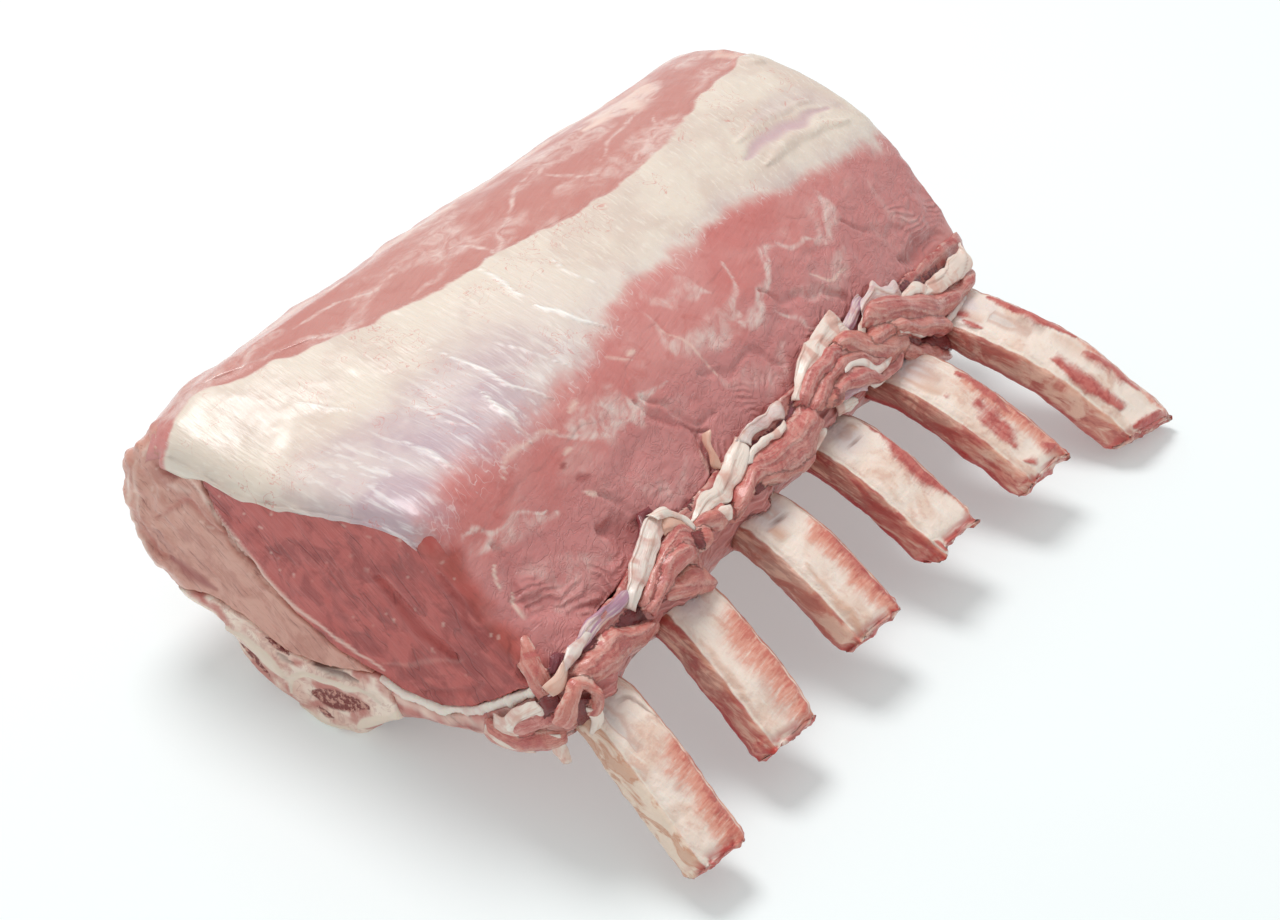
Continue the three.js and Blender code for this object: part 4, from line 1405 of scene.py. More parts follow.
RIB_TAN = [
    [(1.2, 0.5, [(1, -6), (2, -2), (1, 2)]), (2.4, 0.3, [(24, 4), (34, 1)])],
    [(1.6, 0.6, [(10, -6), (18, -6), (24, -5)]), (2.0, 0.4, [(30, -3), (34, -4)])],
    [(2.6, 1.0, [(6, -4), (9, -2)]), (1.8, 0.8, [(16, -5), (26, -6), (34, -6)])],
    [(2.0, 0.9, [(1, 3), (4, 4)]), (1.2, 0.4, [(15, -5), (22, -6)])],
    [(2.2, 0.8, [(3, -5), (9, -5), (12, -4)]), (1.6, 0.5, [(5, 0), (12, 1)])],
    [(2.6, 0.8, [(7, 1), (15, 2), (22, 3)]), (4.0, 0.5, [(22, 4), (34, 4)]), (3.0, 0.7, [(0, -3), (6, -4)])],
]
RIB_HOLLOW = [
    [(2.7, 1.0, [(5, -3), (10, -2), (15, -2)]), (1.5, 0.9, [(16, -2), (22, -1), (26, 0)])],
    [(3.6, 0.5, [(-1, 2), (4, 3)]), (3.4, 0.4, [(24, 0), (32, 0)])],
    [(3.0, 0.7, [(1, 1), (4, -1)]), (1.6, 0.3, [(26, 0), (32, 2)])],
    [(3.4, 0.7, [(1, 1), (5, 1)])],
    [(3.2, 0.8, [(1, 0), (6, 1), (12, 1)])],
    [(2.8, 1.0, [(7, 0), (13, 1), (20, 2)])],
]
RIB_CRACKS = [
    [(0.6, 0.8, [(5, 1), (9, 4), (15, 7)]), (0.5, 0.6, [(0, -4), (1, 0), (3, 4)])],
    [],
    [(0.6, 1.0, [(3, 2), (5, 0), (6, -2)])],
    [(0.6, 1.0, [(4, 2), (6, 0), (7, -3)])],
    [(0.7, 0.5, [(4, 1), (12, 2)])],
    [(0.7, 0.6, [(9, 4), (16, 5), (23, 5)])],
]

# for each rib: how far across the red frays in and from how far out, how red its far edge is, how
# pale its near side is, and how far the saw's ragged corners stand out on the near and far side
RIB_LOOK = [
    (-0.5, 14, 0.2, 0.9, 0.4, 0.8),
    (-0.6, 6, 0.3, 0.0, 0.8, 0.4),
    (-0.5, 6, 0.8, 0.2, 0.4, 0.6),
    (0.3, 6, 0.8, 0.0, 2.6, 1.8),
    (-0.2, 8, 0.7, 0.0, 0.8, 2.0),
    (0.3, 14, 0.8, 0.1, 1.0, 1.0),
]


def section(angle, boxy):
    """A point on a rounded square of half size 1 at an angle."""
    c, s = np.cos(angle), np.sin(angle)
    return np.sign(c) * np.abs(c) ** boxy, np.sign(s) * np.abs(s) ** boxy


def distances(line):
    """How far along a line each of its points lies."""
    return np.append(0, np.cumsum(np.linalg.norm(np.diff(line, axis=0), axis=1)))


def read_at(t, run, values):
    """Values known at the distances run, read at even distances t from 0 to 1."""
    return np.stack([np.interp(t * run[-1], run, values[:, n]) for n in range(3)], axis=1)


def along_line(line, t):
    """Points on a middle line, the directions ahead, across and up there, and the line's length."""
    smooth_line = curve(line, 160)
    run = distances(smooth_line)
    spots = read_at(t, run, smooth_line)
    ahead = read_at(t, run, np.gradient(smooth_line, run, axis=0))
    ahead /= np.linalg.norm(ahead, axis=1, keepdims=True)
    across = np.cross(np.array([0, 0, 1.0]), ahead)
    across /= np.linalg.norm(across, axis=1, keepdims=True)
    return spots, ahead, across, np.cross(ahead, across), run[-1]


def make_rib(number, line, wide, thick, tips, finish):
    """One rib with the masks of its finish."""
    bm = rod(RIB_SIDES, RIB_RINGS)
    t, angle, radius = rod_places(bm)
    u, w = section(angle, RIB_BOXY)
    spots, ahead, across, up, length = along_line(line, t)
    stations = np.linspace(0, 1, len(wide))
    half_wide = np.interp(t, stations, wide)
    half_thick = np.interp(t, stations, thick)
    crown = 0.9 * (1 - u ** 2) * (w > 0) * radius
    slant = (tips[1] - tips[0]) / 2 * u * radius * ramp(t, 0.86, 1.0)
    fray_reach, fray_start, far_red, pale_side, near_hook, far_hook = RIB_LOOK[number]
    lean = 0.09 * ramp(-u, 0.3, 0.9) * ramp(w, -0.4, 0.9)
    sideways = across * ((u + lean) * radius * half_wide)[:, None]
    points = spots + sideways + up * (w * radius * half_thick)[:, None]
    points += up * (crown * 0.6 - 0.5)[:, None] + ahead * slant[:, None]
    seed = 60 + 7 * number
    from_tip = (1 - t) * length
    corner_out = radius ** 6 * ramp(from_tip, 2.5, 0) * (w > -0.2)
    hooks = corner_out * (near_hook * ramp(-u, 0.5, 0.95) + far_hook * ramp(u, 0.5, 0.95))
    points += ahead * hooks[:, None] + up * (0.4 * hooks)[:, None]
    rough_tip = ramp(from_tip, 7, 0)
    set_points(bm, points)
    bmesh.ops.recalc_face_normals(bm, faces=bm.faces)
    normals = normals_of(bm)
    edge = np.abs(u) - w + 0.05 * cloud(points, 3, seed + 9, 2)
    top = ramp(edge, 0.08, -0.04) * ramp(radius, 0.9, 1.0)
    place = np.stack([points[:, 0] - LOIN_EDGE, u * half_wide], axis=1)
    place += 0.9 * np.stack([cloud(points, 5, seed + 3, 2), cloud(points, 5, seed + 4, 2)], axis=1)
    red, tan, crack, hollow = (
        brushes(place, marks[number]) * top for marks in (RIB_RED, RIB_TAN, RIB_CRACKS, RIB_HOLLOW)
    )
    far_edge = ramp(u + 0.2 * cloud(points, 6, seed + 5, 3), 0.7, 0.95) * top
    fray = ramp(u + 0.3 * cloud(points, 9, seed + 8, 2), fray_reach, 0.95) * top
    fray *= ramp(place[:, 0], fray_start, fray_start + 9)
    bumps = 0.45 * cloud(points, 9, seed, 3) + 0.10 * cloud(points, 1.8, seed + 1, 2)
    bumps += rough_tip * cloud(points, 3.5, seed + 2, 2) - 1.2 * ramp(from_tip, 3, 0) * (radius > 0.9)
    bumps -= 0.35 * bell(np.abs(u), 0.86, 0.08) * (w > 0.5)
    bumps += 0.35 * red - 0.6 * hollow * (number in (0, 5)) + 0.5 * tan * (number in (2, 3)) - 0.5 * crack
    points = points + normals * bumps[:, None]
    points[:, 2] = np.maximum(points[:, 2], 0.0)
    set_points(bm, points)
    side = ramp(edge, -0.03, 0.07) * ramp(radius, 0.8, 1.0)
    masks = {
        "red": np.maximum(red, far_red * far_edge),
        "fray": fray,
        "hollow": hollow,
        "peach": pale_side * (u < 0) * side,
        "brow": bell(edge, 0.16, 0.1) * (w > 0) * ramp(cloud(points, 5, seed + 10, 2), -0.3, 0.2),
        "tan": tan,
        # crack: the cracks, pressed in and painted dark as shade
        "crack": crack,
        "side": side,
        # low: the lower part of each side, whose deep red is partly red meat and partly painted shade
        "low": side * ramp(w, 0.1, -0.7),
        "marrow": (1 - ramp(radius, 0.72, 0.92)) * (t > 0.9),
        "rimred": ramp(from_tip, 3.5, 0.5) * ramp(cloud(points, 2.5, seed + 6, 2), -0.15, 0.2),
        "grey": ramp(points[:, 0] - LOIN_EDGE, 10, 3) * bell(u, -0.1, 0.55) * top,
        "root": ramp(points[:, 0] - LOIN_EDGE, 32, 8),
        # ridge: a painted highlight along the edge between the top and the sides
        "ridge": bell(edge, -0.02, 0.06) * (w > 0) * ramp(cloud(points, 4, seed + 7, 2), -0.6, 0.0),
    }
    return piece(f"{RIBS[number]}_bone", bm, finish, [RIBS[number]], masks)

# %% [markdown]
# Scraped bone is a warm cream. Along its far edge a strip of red meat frays into it in fine strokes
# across the rib, its near side is brown-pink with dark streaks, and close to the loin the top is
# covered with grey cartilage. A cream line along the edge between top and side is a painted
# highlight, the cracks are painted dark as shade, and each side turns deep red towards its lower
# edge, partly from red meat there and partly as painted shade.

# %% Rib finish
rib_finish = Finish(
    "scraped bone", Roughness=0.42, Coat_Weight=0.25, Coat_Roughness=0.2,
    Subsurface_Weight=0.12, Subsurface_Radius=(1.0, 0.6, 0.4), Subsurface_Scale=2 * MM,
)
rib_broad = rib_finish.noise(12.0, detail=3.0, warp=0.5)
rib_along = rib_finish.noise(1.3, stretch=(9, 1, 1), turn=(0, 18, 0), detail=3.0, rough=0.6, seed=2.0)
rib_fray = rib_finish.noise(0.7, stretch=(1, 8, 1), detail=3.0, rough=0.6, seed=5.0)
rib_spot = rib_finish.noise(2.4, detail=4.0, rough=0.65, seed=3.0)
rib_cream = rib_finish.coats(
    tone(246, 228, 214),
    (tone(234, 206, 188), rib_broad.span(0.46, 0.66)),
    (tone(214, 160, 140), (rib_spot * rib_broad).span(0.28, 0.38) * 0.35),
    (tone(245, 237, 226), rib_along.span(0.54, 0.72) * 0.5),
    (tone(204, 192, 198), rib_finish.mask("grey") * rib_broad.span(0.25, 0.5) * 0.8),
    (tone(210, 160, 132), rib_finish.mask("tan") * 0.8),
)
rib_dip = rib_finish.mask("hollow")
rib_cream = rib_finish.coats(
    rib_cream,
    (tone(214, 202, 196), rib_dip * 0.75),
    (tone(206, 158, 138), (rib_dip - 0.45).absolute().span(0.3, 0.05) * rib_dip * 0.9),
)
rib_strands = rib_finish.mask("fray") * ((rib_fray - 0.5) * 2.6 + (rib_spot - 0.5) * 1.2 + 1.2)
rib_cream = rib_finish.coats(
    rib_cream,
    (tone(226, 152, 130), rib_strands.span(0.1, 0.8) * 0.9),
    (tone(204, 104, 88), rib_strands.span(0.7, 1.35) * 0.8),
)
rib_meat = rib_finish.coats(
    tone(200, 106, 96),
    (tone(178, 76, 70), rib_spot.span(0.45, 0.65)),
    (tone(218, 146, 130), rib_fray.span(0.54, 0.72) * 0.4),
)
rib_clings = (rib_finish.mask("red") + (rib_fray - 0.5) * 0.5 + (rib_spot - 0.5) * 0.5).span(0.15, 0.85)
rib_colour = rib_finish.mix(rib_cream, rib_meat, rib_clings)
rib_patch = rib_finish.noise(
    4.5, stretch=(2.4, 1, 1), turn=(0, 18, 0), detail=4.0, rough=0.6, seed=8.0, warp=0.8
)
rib_side = rib_finish.coats(
    tone(206, 122, 108),
    (tone(232, 184, 162), rib_patch.span(0.42, 0.62)),
    (tone(174, 70, 64), (rib_patch * 0.5 + rib_along * 0.5).span(0.5, 0.38) * 0.85),
    (tone(146, 42, 40), rib_finish.mask("root") * rib_along.span(0.35, 0.55) * 0.65),
    # Deep red towards the lower edge of each side: partly red meat there, partly painted shade.
    (tone(176, 22, 28), (rib_finish.mask("low") * (rib_broad * 1.8)).span(0.4, 0.85) * 0.85),
    (tone(234, 200, 178), rib_along.span(0.57, 0.7) * 0.5),
    (tone(204, 138, 108), rib_finish.mask("brow") * 0.5),
)
rib_pale = rib_finish.coats(
    tone(222, 184, 158),
    (tone(242, 222, 202), rib_patch.span(0.46, 0.56)),
    (tone(206, 140, 106), (rib_patch - 0.46).absolute().span(0.04, 0.0) * 0.5),
)
rib_side = rib_finish.mix(rib_side, rib_pale, rib_finish.mask("peach"))
rib_colour = rib_finish.coats(
    rib_colour,
    (rib_side, rib_finish.mask("side")),
    # Painted highlight: a cream line along the edge between top and side.
    (tone(244, 232, 216), rib_finish.mask("ridge") * 0.9),
    # Painted shade: the cracks are painted dark.
    (tone(150, 110, 96), rib_finish.mask("crack") * 0.8),
)
rib_marrow = rib_finish.mix(tone(168, 78, 66), tone(226, 190, 172), rib_spot.span(0.48, 0.6))
rib_colour = rib_finish.coats(
    rib_colour,
    (rib_marrow, rib_finish.mask("marrow")),
    (tone(192, 52, 46), rib_finish.mask("rimred") * 0.85),
)
rib_finish.wear(
    Base_Color=rib_colour,
    Roughness=0.5 - rib_spot * 0.2,
    Normal=rib_finish.bump(rib_along * 0.5 + rib_fray * 0.3 + rib_spot + rib_clings * 0.5, 0.4),
)

for number, (line, wide, thick, tips) in enumerate(rib_lines):
    make_rib(number, line, wide, thick, tips, rib_finish)

# %% [markdown]
# ## The frill
#
# To clean the ribs, the meat between them is cut back to the loin. What is left is a frill of soft
# flaps, each built of thin layers that run along it, and the skin that lay over them stands up as
# pale ribbons with crevices behind, which are dark strips of painted shade. A flap is a rod again,
# but its two sides follow two curves in space: an inner edge against the loin and an outer edge over
# the ribs. That is the easiest way to place a soft shape exactly, because both of its outlines are
# drawn directly.

# %% A flap between two edges
FLAP_SIDES = 44
FLAP_RINGS_PER_MM = 1.8
FLAP_BOXY = 0.6
EDGE_POINTS = 200


def flap(inner, outer, thick, arch, layers, seed, uneven=1.0):
    """A soft flap between two edges, with its layers stepped across it, and the masks of its finish."""
    inner, outer = curve(inner, EDGE_POINTS), curve(outer, EDGE_POINTS)
    middle = (inner + outer) / 2
    away = np.array(body_tree.find_nearest(Vector(middle[EDGE_POINTS // 2]) * MM)[1])
    run = distances(middle)
    length = run[-1]
    bm = rod(FLAP_SIDES, max(int(length * FLAP_RINGS_PER_MM / COARSE), 10), cap_rings=1)
    t, angle, radius = rod_places(bm)
    a, b, ahead = (read_at(t, run, part) for part in (inner, outer, np.gradient(middle, axis=0)))
    across = (b - a) / np.linalg.norm(b - a, axis=1, keepdims=True)
    up = np.cross(across, ahead)
    up *= np.sign((up @ away).mean()) / np.linalg.norm(up, axis=1, keepdims=True)
    u, w = np.cos(angle) * radius, section(angle, FLAP_BOXY)[1] * radius
    gap = np.linalg.norm(b - a, axis=1)
    flat = np.stack([t * length, u * gap / 2, np.full(len(t), 9.7 * seed)], axis=1)
    edge = uneven * (0.5 * cloud(flat, 4, 81, 2) + 0.3)
    share = (1 + u) / 2 + edge / gap * u
    step = ((1 + u) / 2 * layers * 0.55 + 0.6 * noise(flat, 9, 82, (2, 1, 1))) % 1
    terrace = step ** 1.5 * (1 - ramp(step, 0.86, 1.0))
    top = ramp(w, 0.1, 0.5)
    swell = 0.4 * terrace * (layers > 1) + 0.2 * uneven * cloud(flat, 5, 83, 2, (2, 1, 1))
    ends = np.clip(np.minimum(t, 1 - t) * length / 2.5, 0.06, 1) ** 0.5
    body_thick = thick / 2 * ends * (1 + 0.3 * noise(flat, 7, 88))
    points = a + (b - a) * share[:, None] + up * (arch * (1 - u ** 2) + top * swell + w * body_thick)[:, None]
    sway = np.stack([noise(points, 7, 91), noise(points, 7, 92), noise(points, 7, 93)], axis=1)
    set_points(bm, points + 0.6 * sway)
    bmesh.ops.recalc_face_normals(bm, faces=bm.faces)
    masks = {
        "run": flat[:, 0] + 31 * seed,
        "layer": flat[:, 1] + 13 * seed,
        # crest and step: a painted highlight on each layer and painted shade under its step; rim: the pale
        # edge, partly cream skin and partly painted highlight
        "crest": ramp(step, 0.55, 0.85) * (1 - ramp(step, 0.88, 0.98)) * top * (layers > 1),
        "step": ramp(step, 0.9, 0.99) * top * (layers > 1),
        "rim": ramp(np.abs(u), 0.84, 0.96),
    }
    return bm, masks


def joined(parts):
    """Several bmeshes with their masks as one bmesh and one set of masks."""
    whole = bmesh.new()
    for bm, _ in parts:
        part = bpy.data.meshes.new("part")
        bm.to_mesh(part)
        bm.free()
        whole.from_mesh(part)
        bpy.data.meshes.remove(part)
    return whole, {name: np.concatenate([masks[name] for _, masks in parts]) for name in parts[0][1]}


test_flap = flap([(0, 0, 80), (0, 30, 80)], [(6, 0, 80), (6, 30, 80)], 2, 1, 3, 0)[0]
print("a small flap has", len(test_flap.faces), "faces")
test_flap.free()

# %% [markdown]
# The flaps are listed from the near end to the far one as thickness, arch, number of layers, warmth
# of colour, inner edge and outer edge. Together they run like a coarse rope along the foot of the
# flank, lapping over the root of each rib.

# %% Where the flaps lie
FLAPS = [
    # the corner, and the curl beside the first rib
    (1.6, 0.5, 1, 0.8, [(45, -96, 47), (48, -99, 46), (53, -102, 42), (57, -102, 37)],
     [(47, -95, 48), (52, -97, 47), (56, -99, 44), (60, -99, 39)]),
    (2.6, 0.6, 2, 0.9, [(43, -103, 27), (50, -103, 27), (56, -102, 29), (61, -99, 31)],
     [(43, -102, 22), (50, -102, 22), (56, -101, 24), (61, -98, 26)]),
    (2.6, 0.6, 2, 0.3, [(50, -103, 31), (54, -103, 34), (57, -102, 38)],
     [(51, -103, 27), (56, -103, 30), (61, -101, 34)]),
    (2.6, 0.8, 2, 0.9,
     [(61, -104, 35), (62, -103, 38), (62, -101, 41), (62, -98, 43),
      (64, -95, 42), (66, -93, 39), (66, -93, 36), (66, -94, 33)],
     [(64, -102, 34), (64, -100, 36), (63, -99, 39), (63, -97, 41),
      (64, -95, 39), (65, -95, 38), (65, -96, 36), (65, -97, 34)]),
    # between the first and the second rib
    (3.2, 1.4, 4, 0.6,
     [(60, -96, 42), (60, -92, 43), (60, -87, 43), (60, -82, 43), (61, -76, 40), (61, -68, 36)],
     [(63, -95, 40), (64, -89, 38), (64, -83, 36), (63, -77, 35), (63, -72, 35), (63, -67, 34)]),
    # over the second rib
    (2.6, 0.8, 4, 0.3,
     [(60, -71, 42), (59, -66, 43), (58, -62, 44), (57, -58, 46),
      (56, -55, 47), (55, -51, 47), (56, -47, 46), (58, -45, 44)],
     [(61, -68, 40), (61, -64, 42), (60, -61, 44), (59, -57, 45),
      (59, -54, 45), (60, -52, 45), (60, -50, 42), (61, -49, 39)]),
    (3.2, 1.0, 3, 0.4,
     [(61, -71, 41), (61, -67, 42), (60, -63, 44), (59, -60, 46),
      (59, -57, 46), (59, -54, 46), (60, -52, 44), (61, -50, 42)],
     [(63, -69, 39), (62, -64, 41), (62, -61, 42), (62, -58, 43),
      (62, -56, 43), (62, -53, 42), (62, -52, 40), (63, -50, 38)]),
    (2.8, 1.0, 3, 0.7, [(61, -63, 41), (62, -58, 41), (62, -54, 41), (62, -50, 39), (63, -48, 37)],
     [(63, -64, 40), (64, -60, 38), (65, -55, 36), (65, -51, 34), (65, -47, 32)]),
    (3.0, 1.2, 2, 1.0, [(58, -47, 44), (58, -44, 44), (59, -42, 42), (60, -41, 41)],
     [(60, -49, 43), (61, -48, 41), (61, -45, 40), (61, -43, 41)]),
    (3.0, 1.0, 2, 0.8, [(57, -45, 44), (57, -41, 45), (57, -38, 44), (58, -34, 44)],
     [(59, -45, 44), (60, -40, 42), (60, -38, 40), (60, -33, 40)]),
    # between the second and the fourth rib
    (2.6, 1.0, 2, 0.9, [(60, -34, 39), (59, -32, 41), (59, -29, 42), (59, -26, 42)],
     [(61, -32, 38), (61, -29, 39), (60, -25, 40), (60, -23, 41)]),
    (3.6, 1.6, 4, 0.4,
     [(59, -31, 42), (58, -28, 44), (57, -23, 44), (56, -20, 45), (56, -16, 45),
      (56, -12, 45), (56, -7, 44), (56, -2, 44), (56, 2, 44), (55, 5, 45)],
     [(61, -33, 39), (60, -27, 41), (60, -22, 42), (61, -17, 39), (62, -11, 37),
      (62, -5, 36), (62, -1, 35), (61, 3, 36), (60, 6, 38), (60, 9, 39)]),
    (2.4, 0.8, 2, 0.6,
     [(60, -21, 43), (60, -17, 42), (60, -12, 41), (61, -7, 40), (61, -2, 38), (61, 2, 37)],
     [(61, -21, 41), (62, -16, 39), (62, -11, 37), (62, -6, 36), (62, -2, 35), (61, 2, 35)]),
    # over the fourth rib
    (3.2, 1.0, 4, 0.2,
     [(55, 4, 45), (53, 8, 46), (52, 13, 47), (52, 18, 47), (51, 23, 47), (51, 28, 47), (52, 32, 45)],
     [(57, 6, 44), (56, 10, 45), (55, 15, 46), (55, 19, 46), (54, 24, 46), (55, 28, 44), (57, 32, 42)]),
    (3.0, 1.0, 3, 0.5,
     [(57, 5, 44), (56, 10, 45), (55, 15, 45), (55, 20, 45),
      (54, 24, 45), (55, 30, 44), (57, 34, 41), (58, 40, 36)],
     [(59, 9, 42), (58, 13, 43), (57, 18, 44), (57, 22, 44),
      (57, 27, 43), (58, 31, 41), (59, 35, 38), (59, 41, 35)]),
    (3.4, 1.2, 4, 0.2,
     [(58, 9, 42), (57, 15, 43), (57, 20, 43), (57, 25, 43), (58, 31, 41),
      (59, 35, 37), (59, 40, 36), (59, 44, 35), (58, 49, 35)],
     [(59, 14, 40), (59, 18, 41), (59, 22, 41), (60, 26, 39), (60, 30, 37),
      (60, 34, 35), (60, 39, 34), (60, 44, 33), (60, 48, 34)]),
    (4.0, 1.6, 2, 0.9,
     [(50, 28, 47), (51, 33, 46), (52, 38, 44), (54, 41, 42), (55, 46, 40), (55, 51, 38), (57, 54, 35)],
     [(54, 26, 47), (55, 28, 45), (57, 31, 42), (58, 36, 39), (59, 41, 36), (59, 46, 35), (59, 50, 34)]),
    (2.2, 0.8, 1, 1.0, [(58, 9, 44), (58, 12, 44), (58, 15, 44), (58, 18, 43)],
     [(60, 11, 42), (60, 14, 41), (60, 17, 41), (59, 19, 42)]),
    # from the fifth rib to the far end
    (4.0, 1.4, 4, 0.4,
     [(50, 46, 46), (50, 50, 46), (51, 56, 44), (52, 61, 41), (53, 66, 39),
      (54, 71, 37), (54, 77, 35), (55, 84, 33), (54, 90, 32), (54, 97, 31)],
     [(53, 39, 46), (54, 43, 45), (55, 47, 43), (56, 52, 41), (57, 58, 38),
      (58, 64, 34), (58, 71, 31), (58, 75, 30), (58, 82, 30), (57, 89, 29)]),
    (3.4, 1.4, 2, 0.6, [(56, 47, 43), (56, 51, 42), (57, 57, 39), (58, 64, 36), (58, 69, 33), (59, 73, 30)],
     [(58, 48, 40), (58, 52, 38), (59, 57, 35), (60, 62, 33), (60, 67, 30), (60, 72, 28)]),
    (3.0, 1.0, 3, 0.7, [(54, 39, 44), (53, 44, 44), (54, 47, 42), (56, 51, 40)],
     [(57, 36, 43), (57, 41, 41), (57, 46, 40), (57, 51, 38)]),
    (2.6, 0.8, 2, 0.6, [(58, 50, 37), (59, 55, 33), (60, 61, 30), (61, 67, 25), (61, 72, 22)],
     [(60, 49, 34), (61, 53, 31), (62, 58, 27), (62, 64, 24), (62, 70, 21)]),
]

# %% [markdown]
# The crevices are dark red strips at the bottom of each gap, listed as thickness, share of purple,
# inner edge and outer edge. The skin's ribbons follow as thickness, number of ridges, hue, inner
# The crevices are dark red strips of painted shade at the bottom of each gap, listed as thickness,
# share of purple, inner edge and outer edge. The skin's ribbons follow as thickness, number of
# ridges, hue, inner edge and outer edge. Their hue is 1 where the skin is lilac, 0 where it is cream
# and -1 for peach.

# %% Where the crevices and ribbons lie
CREVICES = [
    (1.2, 0.4, [(57, -99, 43), (56, -97, 45), (56, -94, 45)],
     [(59, -98, 43), (58, -95, 44), (57, -93, 44)]),
    (1.4, 0.0, [(57, -103, 37), (58, -102, 39), (60, -100, 40)],
     [(58, -103, 35), (60, -103, 37), (62, -101, 38)]),
    (1.6, 0.0, [(62, -98, 38), (62, -98, 34), (62, -97, 29)],
     [(65, -95, 37), (65, -94, 33), (64, -93, 28)]),
    (1.4, 0.1, [(58, -95, 44), (58, -89, 44), (58, -82, 43), (59, -75, 42), (59, -68, 40)],
     [(60, -94, 41), (60, -88, 42), (60, -82, 41), (61, -75, 38), (61, -67, 35)]),
    (1.4, 0.2, [(54, -61, 47), (52, -57, 49), (50, -54, 50), (50, -50, 50)],
     [(55, -59, 46), (53, -56, 48), (51, -53, 49), (52, -50, 49)]),
    (1.4, 0.1, [(54, -45, 47), (54, -41, 47), (53, -38, 47)],
     [(56, -44, 45), (55, -41, 45), (55, -38, 46)]),
    (1.2, 0.0, [(60, -48, 46), (60, -47, 45), (60, -45, 44)],
     [(61, -49, 44), (62, -48, 43), (61, -46, 42)]),
    (1.4, 0.5,
     [(54, -16, 45), (53, -12, 46), (53, -7, 46), (53, -3, 45), (54, 1, 44), (53, 4, 45), (52, 6, 46)],
     [(56, -15, 44), (55, -11, 44), (55, -7, 44), (55, -3, 43), (55, 1, 43), (55, 4, 44), (53, 7, 45)]),
    (1.6, 0.0, [(60, -24, 41), (60, -21, 42), (60, -18, 42)],
     [(61, -23, 40), (61, -20, 40), (61, -17, 40)]),
    (1.4, 0.2, [(51, 35, 45), (49, 41, 46), (49, 46, 46), (48, 50, 46)],
     [(52, 39, 43), (51, 44, 44), (50, 49, 45), (49, 52, 45)]),
    (1.6, 0.5, [(49, 61, 43), (49, 67, 42), (49, 74, 41), (50, 80, 39), (50, 86, 38)],
     [(51, 60, 41), (52, 66, 40), (52, 71, 39), (52, 76, 37), (52, 82, 36)]),
    (2.4, 0.0, [(57, 51, 37), (58, 57, 34), (58, 64, 30), (59, 71, 27), (59, 75, 25)],
     [(59, 50, 35), (60, 55, 31), (60, 61, 28), (61, 67, 25), (61, 74, 22)]),
]
